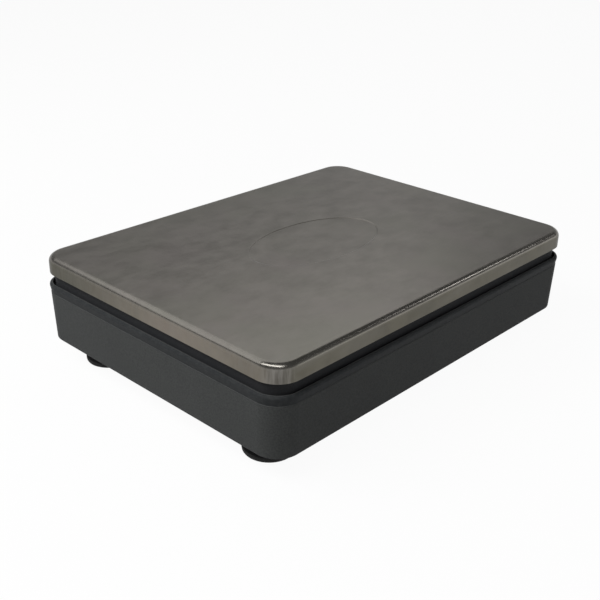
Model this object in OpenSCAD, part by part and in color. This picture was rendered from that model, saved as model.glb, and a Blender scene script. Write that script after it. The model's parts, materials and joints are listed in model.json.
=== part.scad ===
// Weighing base of a counter scale: a folded steel platter on a single-point load cell,
// in a drafted housing on four levelling feet. Millimetres, +Z up, front towards -Y.

/* [Platter] */
// Length of the platter from side to side
platter_w = 380; // [340:1:420]
// Depth of the platter from front to back
platter_d = 285; // [270:1:320]
// Outer radius of the platter's corners seen from above
corner_r = 21; // [19:0.5:26]
// Height of the platter with its folded skirt
skirt_h = 15; // [14:0.5:20]
// Outer radius of the bend between the top and the skirt
bend_r = 5.4; // [3:0.1:7]
// Thickness of the platter's sheet
sheet_t = 1.5; // [1:0.1:2]
// Size of the pressed oval in the middle, from left to right
oval_w = 144; // [110:1:180]
// Size of the pressed oval from front to back
oval_d = 82; // [60:1:110]
// Depth of the pressed oval
oval_depth = 0.6; // [0.3:0.1:1]
// Width of the pressed oval's sloping edge at its ends
oval_slope = 2; // [1:0.5:4]
// Distance of the locating pins from the platter's left and right edges
pin_inset_x = 40; // [34:1:60]
// Distance of the locating pins from the platter's front and back edges
pin_inset_y = 40; // [34:1:55]
// Diameter of the locating pins
pin_d = 6; // [5:0.5:7]
// Length of the locating pins below the sheet
pin_l = 9; // [7:0.5:10]

/* [Housing] */
// How far the housing stands out beyond the platter's skirt
housing_reach = 1.2; // [0.8:0.1:3]
// Height of the housing from its bottom edge to its rim
housing_h = 52; // [50:1:60]
// How far each side leans in from the rim down to the bottom edge
housing_draft = 2.3; // [1:0.1:2.6]
// Thickness of the housing's wall
wall_t = 3; // [2.6:0.1:3.4]
// Outer radius of the housing's rim
rim_r = 2.4; // [1.5:0.1:2.5]
// Height of the lip round the rim, with the slope under it
lip_h = 7; // [6:0.5:8]
// Height of the slope that runs in under the lip
lip_slope_h = 3.4; // [2:0.2:3.4]
// How far the lip stands out beyond the wall below it
lip_reach = 0.4; // [0.2:0.1:0.6]
// Radius of the housing's bottom outer edge
hem_r = 1.2; // [0.6:0.1:2]
// Gap between the housing's rim and the platter's skirt
skirt_gap = 9.2; // [7:0.1:12]
// How far the inner ledge lies below the rim
ledge_drop = 7; // [5:0.5:8]
// Thickness of the inner ledge
ledge_t = 3; // [2:0.1:4]
// Distance of the housing's screws from the middle, along the front and back
housing_screw_x = 120; // [90:1:130]

/* [Deck] */
// How far the plinth is set in from the platter's skirt
plinth_inset = 4; // [3:0.5:5]
// Thickness of the plinth's wall
plinth_t = 2.5; // [2:0.1:3]
// Thickness of the deck
deck_t = 2.5; // [2:0.1:4]
// Radius of the plinth's top edge
plinth_edge_r = 1.5; // [0.5:0.1:2]
// Thickness of the rubber seal under the plinth
seal_t = 1.2; // [0.8:0.1:2]
// Thickness of the flange that sits on the seal
flange_t = 2; // [1.5:0.1:3]
// Distance of the deck's screws from the middle, along the front and back
deck_screw_x = 60; // [45:1:80]
// Distance of the deck's screws from the middle, along the sides
deck_screw_y = 45; // [35:1:60]
// Distance of the bubble level from the middle of the deck
level_y = 105; // [90:1:110]
// Diameter of the bubble level
level_d = 20; // [16:0.5:24]

/* [Platform] */
// Thickness of the rubber seats under the platter
pad_t = 3; // [2:0.1:4]
// Diameter of the rubber seats
pad_d = 22; // [18:0.5:26]
// Thickness of the spider's arms
arm_t = 7; // [6:0.5:8]
// Width of the arms in the middle
arm_root_w = 44; // [36:1:50]
// Width of the arms at their ends
arm_tip_w = 26; // [20:1:28]
// Diameter of the arms' round ends
arm_end_d = 30; // [28:1:36]
// Gap between the arms and the deck
arm_gap = 1.5; // [1.2:0.1:3]
// Gap between the arms and their overload stops
stop_gap = 0.6; // [0.55:0.05:1]
// Distance of each overload stop from its locating pin, along the arm
stop_setback = 46; // [38:1:60]

/* [Load cell] */
// Length of the load cell
cell_l = 130; // [120:1:150]
// Width of the load cell
cell_w = 30; // [26:1:40]
// Height of the load cell
cell_h = 22; // [20:0.5:26]
// Diameter of the two large bores that make the cell flex
cell_bore_d = 15; // [10:0.5:16]
// Distance between the two large bores
cell_bore_gap = 34; // [28:1:40]
// Distance between the two bolts at each end
cell_bolt_gap = 15; // [13:0.5:18]
// Distance of each bolt pair's middle from the end of the cell
cell_bolt_inset = 15; // [14:0.5:20]
// Thickness of the spacers below and above the cell
spacer_t = 6; // [4:0.5:8]
// Diameter of the load cell's cable
cable_d = 4; // [3:0.5:4]

/* [Chassis] */
// How far the chassis sits above the housing's bottom edge
chassis_recess = 2; // [1:0.5:3]
// Thickness of the chassis floor
floor_t = 4; // [3.5:0.5:5]
// Gap between the chassis and the housing's wall
chassis_gap = 0.4; // [0.2:0.1:1]
// Height of the load cell's pedestal above the floor
pedestal_h = 8; // [6:0.5:10]
// Height of the overload stops' posts above the floor
post_h = 40; // [34:1:42]
// Diameter of the overload stops' posts
post_d = 14; // [12:0.5:18]
// Height of the stiffening ribs above the floor
rib_h = 5; // [3:0.5:6]
// Thickness of the stiffening ribs
rib_t = 4; // [3:0.5:6]

/* [Electronics] */
// Length of the circuit board
board_w = 100; // [96:1:120]
// Depth of the circuit board
board_d = 70; // [66:1:72]
// Thickness of the circuit board
board_t = 1.6; // [1.2:0.1:2]
// Height of the posts that carry the board
standoff_h = 8; // [6:0.5:10]
// Width of the socket's recess in the back wall
recess_w = 60; // [50:1:70]
// Height of the socket's recess
recess_h = 24; // [20:0.5:25]
// Depth of the recess from the housing's back face
recess_depth = 12; // [10:0.5:16]
// Thickness of the recess's walls
recess_t = 2.5; // [2:0.1:2.8]
// Height of the socket's middle above the board
socket_rise = 6.4; // [6.3:0.1:7]

/* [Feet] */
// Height of the housing's bottom edge above the ground
stance_h = 21; // [20:0.5:24]
// Diameter of the rubber foot pads
foot_d = 42; // [36:0.5:46]
// Thickness of the foot pads
foot_t = 9; // [8:0.5:10]
// Radius of the foot pads' lower edge
foot_edge_r = 3; // [1:0.5:3.5]
// Distance of the feet from the housing's left and right bottom edges
foot_inset_x = 34; // [30:1:50]
// Distance of the feet from the housing's front and back bottom edges
foot_inset_y = 42; // [30:1:55]
// Diameter of the feet's threaded studs
stud_d = 8; // [6:0.5:10]
// Height of the threaded bosses above the chassis floor
foot_boss_h = 20; // [18:0.5:26]

/* [Hidden] */
$fn = 64;

// Clearances: glued, pressed or threaded pieces, pieces dropped in, and free passages
fit_gap = 0.05;
drop_gap = 0.3;
pass_gap = 1.5;
// Extra length of a cutting shape beyond the face it cuts, and how far joined shapes run into each other
cut = 1;
merge = 0.5;

// Shared outline: every rim is swept round the same four corner centres
arc_x = platter_w / 2 - corner_r;
arc_y = platter_d / 2 - corner_r;

// Heights, from the ground up
z_hem = stance_h;
z_chassis = z_hem + chassis_recess;
z_floor = z_chassis + floor_t;
z_rim = z_hem + housing_h;
z_ledge = z_rim - ledge_drop;
z_skirt = z_rim + skirt_gap;
z_top = z_skirt + skirt_h;
z_sheet = z_top - sheet_t;
z_arm_top = z_sheet - pad_t;
z_arm = z_arm_top - arm_t;
z_deck = z_arm - arm_gap;
z_plinth = z_ledge + seal_t;
z_pedestal = z_floor + pedestal_h;
z_cell = z_pedestal + spacer_t;
z_cell_top = z_cell + cell_h;
z_hub = z_cell_top + spacer_t;
z_post = z_floor + post_h;
z_stop = z_arm - stop_gap;
z_board = z_floor + standoff_h;
z_board_top = z_board + board_t;
z_socket = z_board_top + socket_rise;
z_boss = z_floor + foot_boss_h;

// Distances of the swept walls from the corner centres
rim_x = corner_r + housing_reach;
hem_x = rim_x - housing_draft;
inner_hem_x = hem_x - wall_t;
inner_rim_x = rim_x - wall_t;
chassis_x = inner_hem_x - chassis_gap;
plinth_x = corner_r - plinth_inset;
plinth_inner_x = plinth_x - plinth_t;
flange_gap = 1;
flange_x = inner_rim_x - flange_gap;

// Screws: shank and head sizes of the three sizes used
m6_d = 6;
m6_head_d = 10;
m6_head_h = 6;
m4_d = 4;
m4_head_d = 8;
m3_d = 3;
m3_head_d = 5.6;
m3_head_h = 2;

// Bosses under the ledge for the housing's screws, and under the deck for the deck's screws
boss_d = 10;
boss_web_t = 4;
head_margin = 1.2;
housing_boss_x = chassis_x - m4_head_d / 2 - head_margin;
housing_screw_l = 20;
deck_boss_d = 8;
deck_boss_x = plinth_inner_x - deck_boss_d / 2 + merge;
deck_screw_bite = 10;
ledge_margin = 1;
ledge_x = deck_boss_x - deck_boss_d / 2 - ledge_margin;

// Spider and overload stops
pin_x = platter_w / 2 - pin_inset_x;
pin_y = platter_d / 2 - pin_inset_y;
pin_tip = 1;
pin_gap = 0.3;
arm_l = norm([pin_x, pin_y]);
arm_angle = atan2(pin_y, pin_x);
stop_l = arm_l - stop_setback;
plate_w = 150;
plate_d = 62;
arm_hole_d = 18;
arm_hole_at = 0.48;
pad_stem_d = 12;
pad_stem_l = 5;
hub_margin = 7;
hub_l = cell_bolt_gap + m6_head_d + 2 * hub_margin;
hub_w = cell_w;
hub_clearance = 4;
head_sink = 0.5;
bolt_sink = m6_head_h + head_sink;
stop_head_h = 4;
stop_nut_h = 5;
m6_hex_d = 11.5;
stop_bite = 14;

// Load cell: the fixed end lies towards -X and the live end towards +X
cell_bolt_x = cell_l / 2 - cell_bolt_inset;
cell_bolt_bite = 14;
cell_slot_h = 5;
spacer_l = 2 * cell_bolt_inset;
pedestal_margin = 4;
cover_margin = 4;
cover_inset = 1.5;
cover_l = cell_bore_gap + cell_bore_d + 2 * cover_margin;
cover_h = cell_h - 2 * cover_inset;
cover_t = 0.5;

// Bubble level on the deck
level_floor_t = 1.5;
level_wall_t = 2;
level_h = 8;
level_ear_w = 9;
level_ear_t = 3;
level_outer_d = level_d + 2 * (drop_gap + level_wall_t);
level_screw_x = level_outer_d / 2 + level_ear_w / 2;

// Socket recess, connector plate and board, from the back wall inwards
y_back = arc_y + hem_x;
y_plate = y_back - recess_depth;
plate_t = 1.5;
plate_foot_d = 12;
y_plate_inner = y_plate - plate_t;
plate_half_w = recess_w / 2 + recess_t;
plate_screw_x = 25;
plate_screw_y = y_plate_inner - plate_foot_d / 2;
board_gap = 2;
y_board_back = y_plate_inner - board_gap;
y_board = y_board_back - board_d;
standoff_d = 7;
standoff_inset = 6;
standoff_gap = 1;
standoff_x = board_w / 2 - standoff_inset;
standoff_front_y = y_board + standoff_inset;
standoff_back_y = y_plate_inner - plate_foot_d - standoff_d / 2 - standoff_gap;
board_bite = 6;

// Parts on the board
can_size = [38, 30, 8];
can_wall_t = 0.5;
can_x = -10;
can_inset = 18;
chip_h = 1.6;
chip_w = 14;
small_chip_w = 6;
chip_row_gap = 14;
capacitor_d = 8;
capacitor_h = 11;
capacitor_edge = 14;
capacitor_x = board_w / 2 - capacitor_edge;
capacitor_gap = 12;
capacitor_inset = 56;
chip_gap = 1;
chip_x = capacitor_x - capacitor_d / 2 - chip_gap - chip_w / 2;
header_size = [8, 12, 8];
header_inset = 20;
plug_l = 8;
plug_w = 10;
plug_h = 6;
header_x = -board_w / 2 + plug_l;
header_y = y_board + header_inset;
plug_z = z_board_top + header_size[2] / 2;
jumper_size = [8, 5, 5];
jumper_x = 24;
jumper_y = (y_board + y_board_back) / 2;

// Calibration opening in the chassis floor, under the jumper
access_size = [20, 12];
cover_size = [40, 22];
cover_plate_t = 1.5;
seal_screw_x = 15;
seal_screw_l = 3.6;
countersink_h = 1.3;

// Nine-way socket: a tapered shell on a flange, with a screw post on each side
socket_flange = [31, 12.5];
socket_flange_t = 1;
shell_l = 6;
shell_t = 0.5;
shell_top_w = 17;
shell_bottom_w = 14.2;
shell_h = 8.6;
insert_set_in = 1;
insert_block_l = 9;
jack_x = 12.5;
jack_hex_d = 5.6;
jack_l = 5;
jack_bore_d = 2.84;
jack_bore_l = 4;
jack_shank_d = 2.6;
jack_shank_l = 7;
contact_d = 1.1;
contact_gap = 2.76;
contact_row_gap = 2.84;
contact_depth = 4;

// Clip that holds the cable down on the chassis floor
clip_setback = 19;
clip_x = -cell_l / 2 - clip_setback;
clip_y = 30;
clip_w = 8;
clip_t = 1.4;
cable_lift = 0.5;
clip_z = z_floor + cable_d / 2 + cable_lift;
clip_foot_l = 11;
clip_screw_x = clip_x - cable_d / 2 - clip_t - clip_foot_l / 2;

// Cable from the load cell's fixed end, through its clip, to its plug on the board. The bends are chosen by hand:
// the first are measured from where the cable leaves the cell, the next from its clip, the last from its plug
cell_end = [-cell_l / 2, 0, z_cell + cell_h / 2];
clip_middle = [clip_x, clip_y, clip_z];
plug_end = [-board_w / 2, header_y, plug_z];
cell_bends = [[-5, 0, 0], [-11, 1, -1], [-16, 5, -5]];
clip_bends = [[0, -19, 10.5], [0, -12, 3.5], [0, -4, 0], [0, 4, 0]];
plug_bends = [[-33, -26, -5.6], [-29, -18, -1.6], [-23, -11, 0], [-16, -4, 0], [-8, 0, 0]];
cable_points = concat(
  [cell_end],
  [for (p = cell_bends) cell_end + p],
  [for (p = clip_bends) clip_middle + p],
  [for (p = plug_bends) plug_end + p],
  [plug_end]
);
cable_sides = 8;
cable_up = [1, 0.2, 0.9];

// Feet: a stud turns in a pad that does not turn, and screws into an insert in the chassis
foot_x = arc_x + hem_x - foot_inset_x;
foot_y = arc_y + hem_x - foot_inset_y;
foot_crown_d = 26;
foot_rim_h = 5;
foot_socket_d = 16;
foot_socket_h = 5;
foot_flange_h = 2.4;
foot_neck_d = 10;
foot_hex_d = 15.5;
foot_hex_h = 3;
insert_wall_t = 2;
foot_boss_wall_t = 5;
insert_d = stud_d + 2 * insert_wall_t;
foot_boss_d = insert_d + 2 * foot_boss_wall_t;
stud_reach = 2;
locknut_h = 4.5;
locknut_wall_t = 3.5;
locknut_d = stud_d + 2 * locknut_wall_t;
FEET = [["front_left", -1, -1], ["front_right", 1, -1], ["rear_left", -1, 1], ["rear_right", 1, 1]];

// Colours
STEEL = [0.42, 0.41, 0.39];
ZINC = [0.7, 0.7, 0.68];
GREY = [0.25, 0.26, 0.26];
DARK = [0.16, 0.17, 0.18];
CAST = [0.62, 0.63, 0.64];
RUBBER = [0.07, 0.07, 0.07];
BRASS = [0.72, 0.58, 0.3];

// Sweeps a profile round the shared rounded rectangle: profile x runs outwards from the corner centres
module rim_sweep() {
  for (i = [0:3]) {
    along = i % 2 == 0 ? arc_y : arc_x;
    across = i % 2 == 0 ? arc_x : arc_y;
    rotate([0, 0, 90 * i]) translate([across, along, 0]) {
      rotate_extrude(angle = 90) children();
      rotate([90, 0, 0]) linear_extrude(2 * along) children();
    }
  }
}

// Plate between the corner centres that closes a swept rim
module middle_plate(z, t) {
  translate([-arc_x, -arc_y, z]) cube([2 * arc_x, 2 * arc_y, t]);
}

// Repeats its children at four mirrored places
module at_four(x, y) {
  for (sx = [-1, 1], sy = [-1, 1]) translate([sx * x, sy * y, 0]) children();
}

// Repeats its children at two places either side of the middle
module at_two(x, y = 0) {
  for (sx = [-1, 1]) translate([sx * x, y, 0]) children();
}

// Box centred in X and Y that stands at a height
module block(size, x, y, z) {
  translate([x - size[0] / 2, y - size[1] / 2, z]) cube(size);
}

// Quarter of a disc in the first quadrant
module quarter(r) {
  intersection() {
    circle(r);
    square(r);
  }
}

// Upright round bar between two heights
module bar(d, z_low, z_high) {
  translate([0, 0, z_low]) cylinder(d = d, h = z_high - z_low);
}

// Upright six-sided bar between two heights, with d across its corners
module hex_bar(d, z_low, z_high) {
  translate([0, 0, z_low]) cylinder(d = d, h = z_high - z_low, $fn = 6);
}

// Places its children at the four overload stops, along the arms
module at_stops() {
  at_four(stop_l * cos(arm_angle), stop_l * sin(arm_angle)) children();
}

// Places its children at the housing's screws
module at_housing_screws() {
  at_four(housing_screw_x, arc_y + housing_boss_x) children();
  at_two(arc_x + housing_boss_x) children();
}

// Places its children at the deck's screws
module at_deck_screws() {
  at_four(deck_screw_x, arc_y + deck_boss_x) children();
  at_four(arc_x + deck_boss_x, deck_screw_y) children();
}

// Places its children at the two bolts of one end of the load cell: side is -1 fixed, 1 live
module at_cell_bolts(side) {
  for (s = [-1, 1]) translate([side * cell_bolt_x + s * cell_bolt_gap / 2, 0, 0]) children();
}

// Places its children at the board's four screws
module at_board_screws() {
  at_two(standoff_x, standoff_front_y) children();
  at_two(standoff_x, standoff_back_y) children();
}

// Folded sheet: top, bend and skirt
module platter_profile() {
  translate([0, z_sheet]) square([corner_r - bend_r, sheet_t]);
  translate([corner_r - sheet_t, z_skirt]) square([sheet_t, z_top - bend_r - z_skirt]);
  translate([corner_r - bend_r, z_top - bend_r]) difference() {
    quarter(bend_r);
    circle(bend_r - sheet_t);
  }
}

// Flattens its round children, as wide as the pressed oval, to the oval's depth from front to back
module flattened() {
  scale([1, oval_d / oval_w, 1]) children();
}

module platter() {
  color(STEEL) difference() {
    union() {
      rim_sweep() platter_profile();
      middle_plate(z_sheet, sheet_t);
      flattened() bar(oval_w, z_sheet - oval_depth, z_sheet + sheet_t / 2);
    }
    flattened() {
      translate([0, 0, z_top - oval_depth])
        cylinder(d1 = oval_w - 2 * oval_slope, d2 = oval_w, h = oval_depth);
      bar(oval_w, z_top, z_top + cut);
    }
  }
}

module platter_pins() {
  color(ZINC) at_four(pin_x, pin_y) {
    bar(pin_d, z_sheet - pin_l + pin_tip, z_sheet);
    translate([0, 0, z_sheet - pin_l]) cylinder(d1 = pin_d - 2 * pin_tip, d2 = pin_d, h = pin_tip);
  }
}

module platter_pads() {
  color(RUBBER) at_four(pin_x, pin_y) difference() {
    union() {
      bar(pad_d, z_arm_top, z_sheet);
      bar(pad_stem_d - 2 * fit_gap, z_arm_top - pad_stem_l, z_arm_top);
    }
    bar(pin_d + 2 * pin_gap, z_arm, z_sheet + cut);
  }
}

// One tapered arm lying along +X
module arm_outline() {
  polygon([[0, -arm_root_w / 2], [arm_l, -arm_tip_w / 2], [arm_l, arm_tip_w / 2], [0, arm_root_w / 2]]);
  translate([arm_l, 0]) circle(d = arm_end_d);
}

module spider() {
  color(CAST) difference() {
    union() {
      translate([0, 0, z_arm]) linear_extrude(arm_t) {
        for (a = [arm_angle, -arm_angle, 180 - arm_angle, 180 + arm_angle]) rotate(a) arm_outline();
        square([plate_w, plate_d], center = true);
      }
      block([hub_l, hub_w, z_arm - z_hub], cell_bolt_x, 0, z_hub);
    }
    at_four(pin_x, pin_y) bar(pad_stem_d, z_arm - cut, z_arm_top + cut);
    at_four(arm_hole_at * pin_x, arm_hole_at * pin_y) bar(arm_hole_d, z_arm - cut, z_arm_top + cut);
    at_cell_bolts(1) {
      bar(m6_d + 2 * drop_gap, z_hub - cut, z_arm_top);
      bar(m6_head_d + 2 * drop_gap, z_arm_top - bolt_sink, z_arm_top + cut);
    }
  }
}

module spider_bolts() {
  color(ZINC) at_cell_bolts(1) {
    bar(m6_head_d, z_arm_top - bolt_sink, z_arm_top - bolt_sink + m6_head_h);
    bar(m6_d, z_cell_top - cell_bolt_bite, z_arm_top - bolt_sink);
  }
}

module upper_spacer() {
  color(CAST) difference() {
    block([spacer_l, cell_w, spacer_t], cell_bolt_x, 0, z_cell_top);
    at_cell_bolts(1) bar(m6_d + 2 * drop_gap, z_cell_top - cut, z_hub + cut);
  }
}

module load_cell() {
  color(ZINC) difference() {
    block([cell_l, cell_w, cell_h], 0, 0, z_cell);
    translate([0, cell_w / 2 + cut, z_cell + cell_h / 2]) rotate([90, 0, 0]) {
      at_two(cell_bore_gap / 2) cylinder(d = cell_bore_d, h = cell_w + 2 * cut);
      block([cell_bore_gap, cell_slot_h, cell_w + 2 * cut], 0, 0, 0);
    }
    at_cell_bolts(-1) bar(m6_d + 2 * fit_gap, z_cell - cut, z_cell + cell_bolt_bite + cut);
    at_cell_bolts(1) bar(m6_d + 2 * fit_gap, z_cell_top - cell_bolt_bite - cut, z_cell_top + cut);
  }
}

module gauge_covers() {
  color(ZINC) for (s = [-1, 1])
    block([cover_l, cover_t, cover_h], 0, s * (cell_w + cover_t) / 2, z_cell + (cell_h - cover_h) / 2);
}

module load_cell_bolts() {
  color(ZINC) at_cell_bolts(-1) {
    bar(m6_head_d, z_chassis + bolt_sink - m6_head_h, z_chassis + bolt_sink);
    bar(m6_d, z_chassis + bolt_sink, z_cell + cell_bolt_bite);
  }
}

module lower_spacer() {
  color(CAST) difference() {
    block([spacer_l, cell_w, spacer_t], -cell_bolt_x, 0, z_pedestal);
    at_cell_bolts(-1) bar(m6_d + 2 * drop_gap, z_pedestal - cut, z_cell + cut);
  }
}

module stop_screws() {
  color(ZINC) at_stops() {
    hex_bar(m6_hex_d, z_stop - stop_head_h, z_stop);
    bar(m6_d, z_post - stop_bite, z_stop - stop_head_h);
  }
}

module stop_locknuts() {
  color(ZINC) at_stops() difference() {
    hex_bar(m6_hex_d, z_post, z_post + stop_nut_h);
    bar(m6_d + 2 * fit_gap, z_post - cut, z_post + stop_nut_h + cut);
  }
}

// Stiffening rib across the chassis floor between two opposite feet
module chassis_rib(side) {
  rotate([0, 0, atan2(side * foot_y, foot_x)])
    block([2 * norm([foot_x, foot_y]), rib_t, merge + rib_h], 0, 0, z_floor - merge);
}

module chassis() {
  color(CAST) difference() {
    union() {
      rim_sweep() translate([0, z_chassis]) square([chassis_x, floor_t]);
      middle_plate(z_chassis, floor_t);
      for (side = [-1, 1]) chassis_rib(side);
      at_four(foot_x, foot_y) bar(foot_boss_d, z_floor - merge, z_boss);
      at_stops() bar(post_d, z_floor - merge, z_post);
      block([spacer_l + 2 * pedestal_margin, cell_w + 2 * pedestal_margin, merge + pedestal_h],
        -cell_bolt_x, 0, z_floor - merge);
      at_board_screws() bar(standoff_d, z_floor - merge, z_board);
    }
    at_four(foot_x, foot_y) bar(insert_d + 2 * fit_gap, z_chassis - cut, z_boss + cut);
    at_stops() bar(m6_d + 2 * fit_gap, z_post - stop_bite - cut, z_post + cut);
    at_cell_bolts(-1) {
      bar(m6_d + 2 * drop_gap, z_chassis, z_pedestal + cut);
      bar(m6_head_d + 2 * drop_gap, z_chassis - cut, z_chassis + bolt_sink);
    }
    at_board_screws() bar(m3_d + 2 * fit_gap, z_board - board_bite - cut, z_board + cut);
    at_housing_screws() {
      bar(m4_d + 2 * drop_gap, z_chassis - cut, z_floor + cut);
      translate([0, 0, z_chassis]) cylinder(d1 = m4_head_d, d2 = m4_d, h = (m4_head_d - m4_d) / 2);
    }
    at_two(plate_screw_x, plate_screw_y) bar(m3_d + 2 * fit_gap, z_chassis - cut, z_floor + cut);
    translate([clip_screw_x, clip_y, 0]) bar(m3_d + 2 * fit_gap, z_chassis - cut, z_floor + cut);
    block([cover_size[0], cover_size[1], cover_plate_t + cut], jumper_x, jumper_y, z_chassis - cut);
    block([access_size[0], access_size[1], floor_t + 2 * cut], jumper_x, jumper_y, z_chassis - cut);
    translate([jumper_x, jumper_y, 0]) at_two(seal_screw_x)
      bar(m3_d + 2 * fit_gap, z_chassis, z_floor + cut);
  }
}

// Drafted wall with a lip round its rounded rim, a rounded bottom edge and a ledge for the deck
module housing_profile() {
  z_round = z_rim - rim_r;
  z_lip = z_rim - lip_h;
  polygon([
    [inner_hem_x, z_hem], [hem_x - hem_r, z_hem], [hem_x - hem_r, z_hem + hem_r], [hem_x, z_hem + hem_r],
    [rim_x - lip_reach, z_lip], [rim_x, z_lip + lip_slope_h], [rim_x, z_round], [rim_x - rim_r, z_round],
    [rim_x - rim_r, z_rim], [inner_rim_x, z_rim]
  ]);
  translate([rim_x - rim_r, z_round]) quarter(rim_r);
  translate([hem_x - hem_r, z_hem + hem_r]) mirror([0, 1]) quarter(hem_r);
  translate([ledge_x, z_ledge - ledge_t]) square([rim_x - wall_t / 2 - ledge_x, ledge_t]);
}

// Screw boss lying against the wall at +X of its own axis
module housing_boss() {
  bar(boss_d, z_floor, z_ledge - ledge_t / 2);
  translate([0, -boss_web_t / 2, z_floor])
    cube([hem_x - wall_t / 3 - housing_boss_x, boss_web_t, z_ledge - ledge_t / 2 - z_floor]);
}

module housing() {
  recess_y = arc_y + hem_x - wall_t / 2 - y_plate;
  color(GREY) difference() {
    union() {
      rim_sweep() housing_profile();
      for (s = [-1, 1]) {
        at_two(housing_screw_x, s * (arc_y + housing_boss_x)) rotate([0, 0, s * 90]) housing_boss();
        translate([s * (arc_x + housing_boss_x), 0, 0]) rotate([0, 0, 90 - s * 90]) housing_boss();
      }
      block([2 * plate_half_w, recess_y, recess_h + 2 * recess_t], 0, y_plate + recess_y / 2,
        z_socket - recess_h / 2 - recess_t);
    }
    block([recess_w, 4 * recess_depth, recess_h], 0, y_back, z_socket - recess_h / 2);
    at_housing_screws() bar(m4_d + 2 * fit_gap, z_floor - cut, z_floor + housing_screw_l);
    at_deck_screws() bar(m4_d + 2 * drop_gap, z_ledge - ledge_t - cut, z_ledge + cut);
  }
}

module housing_screws() {
  head_h = (m4_head_d - m4_d) / 2;
  color(ZINC) at_housing_screws() {
    translate([0, 0, z_chassis]) cylinder(d1 = m4_head_d, d2 = m4_d, h = head_h);
    bar(m4_d, z_chassis + head_h, z_floor + housing_screw_l - cut);
  }
}

// Flange, plinth wall and deck edge
module deck_profile() {
  translate([plinth_inner_x, z_plinth]) square([flange_x - plinth_inner_x, flange_t]);
  translate([plinth_inner_x, z_plinth]) square([plinth_t, z_deck - plinth_edge_r - z_plinth]);
  translate([0, z_deck - deck_t]) square([plinth_x - plinth_edge_r, deck_t]);
  translate([plinth_x - plinth_edge_r, z_deck - plinth_edge_r]) quarter(plinth_edge_r);
}

module deck_cover() {
  color(DARK) difference() {
    union() {
      rim_sweep() deck_profile();
      middle_plate(z_deck - deck_t, deck_t);
      at_deck_screws() bar(deck_boss_d, z_ledge, z_deck - deck_t / 2);
    }
    block([hub_l + 2 * hub_clearance, hub_w + 2 * hub_clearance, deck_t + 2 * cut], cell_bolt_x, 0,
      z_deck - deck_t - cut);
    at_stops() bar(m6_hex_d + 2 * pass_gap, z_deck - deck_t - cut, z_deck + cut);
    at_deck_screws() bar(m4_d + 2 * fit_gap, z_ledge - cut, z_ledge + deck_screw_bite);
    at_two(level_screw_x, -level_y) bar(m3_d + 2 * fit_gap, z_deck - deck_t - cut, z_deck + cut);
  }
}

module deck_seal() {
  color(RUBBER) rim_sweep() translate([plinth_inner_x, z_ledge]) difference() {
    square([flange_x - plinth_inner_x, seal_t]);
    translate([-cut, -cut]) square([cut + merge + fit_gap, seal_t + 2 * cut]);
  }
}

module deck_screws() {
  head_h = 3;
  color(ZINC) at_deck_screws() {
    bar(m4_head_d, z_ledge - ledge_t - head_h, z_ledge - ledge_t);
    bar(m4_d, z_ledge - ledge_t, z_ledge + deck_screw_bite - cut);
  }
}

module level_holder() {
  color(DARK) translate([0, -level_y, 0]) difference() {
    union() {
      bar(level_outer_d, z_deck, z_deck + level_floor_t + level_h);
      block([2 * level_screw_x, level_ear_w, level_ear_t], 0, 0, z_deck);
      at_two(level_screw_x) bar(level_ear_w, z_deck, z_deck + level_ear_t);
    }
    bar(level_d + 2 * drop_gap, z_deck + level_floor_t, z_deck + level_floor_t + level_h + cut);
    at_two(level_screw_x) bar(m3_d + 2 * fit_gap, z_deck - cut, z_deck + level_ear_t + cut);
  }
}

module level_vial() {
  dome_h = 1;
  color([0.7, 0.85, 0.4]) translate([0, -level_y, z_deck + level_floor_t]) {
    cylinder(d = level_d, h = level_h - dome_h);
    translate([0, 0, level_h - dome_h]) cylinder(d1 = level_d, d2 = level_d - 2 * dome_h, h = dome_h);
  }
}

module level_screws() {
  color(ZINC) at_two(level_screw_x, -level_y) {
    bar(m3_head_d, z_deck + level_ear_t, z_deck + level_ear_t + m3_head_h);
    bar(m3_d, z_deck - deck_t, z_deck + level_ear_t);
  }
}

module main_board() {
  color([0.1, 0.35, 0.18]) difference() {
    block([board_w, board_d, board_t], 0, y_board + board_d / 2, z_board);
    at_board_screws() bar(m3_d + 2 * fit_gap, z_board - cut, z_board_top + cut);
  }
}

module board_screws() {
  color(ZINC) at_board_screws() {
    bar(m3_head_d, z_board_top, z_board_top + m3_head_h);
    bar(m3_d, z_board - board_bite, z_board_top);
  }
}

module shield_can() {
  inner = [can_size[0] - 2 * can_wall_t, can_size[1] - 2 * can_wall_t, can_size[2] - can_wall_t + cut];
  can_y = y_board + can_inset + can_size[1] / 2;
  color(ZINC) difference() {
    block(can_size, can_x, can_y, z_board_top);
    block(inner, can_x, can_y, z_board_top - cut);
  }
}

module board_chips() {
  chip_y = y_board + can_inset + chip_w / 2;
  color(DARK) {
    block([chip_w, chip_w, chip_h], chip_x, chip_y, z_board_top);
    for (s = [-1, 1])
      block([small_chip_w, small_chip_w, chip_h],
        chip_x + s * small_chip_w, chip_y + chip_row_gap, z_board_top);
  }
}

module board_capacitors() {
  color(DARK) for (i = [0, 1]) translate([capacitor_x, y_board_back - capacitor_inset + i * capacitor_gap, 0])
    bar(capacitor_d, z_board_top, z_board_top + capacitor_h);
}

module cable_header() {
  color("ivory") block(header_size, header_x + header_size[0] / 2, header_y, z_board_top);
}

module cable_plug() {
  color("ivory") block([plug_l, plug_w, plug_h], header_x - plug_l / 2, header_y, plug_z - plug_h / 2);
}

// Unit vector along a
function unit(a) = a / norm(a);

// Direction of a route at its point i
function heading(p, i) = unit(p[min(i + 1, len(p) - 1)] - p[max(i - 1, 0)]);

// Ring of points round point i of a route
function ring(p, i, r, sides) =
  let (t = heading(p, i), u = unit(cross(t, cable_up)), v = cross(t, u))
  [for (k = [0:sides - 1]) p[i] + r * (cos(360 * k / sides) * u + sin(360 * k / sides) * v)];

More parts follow.
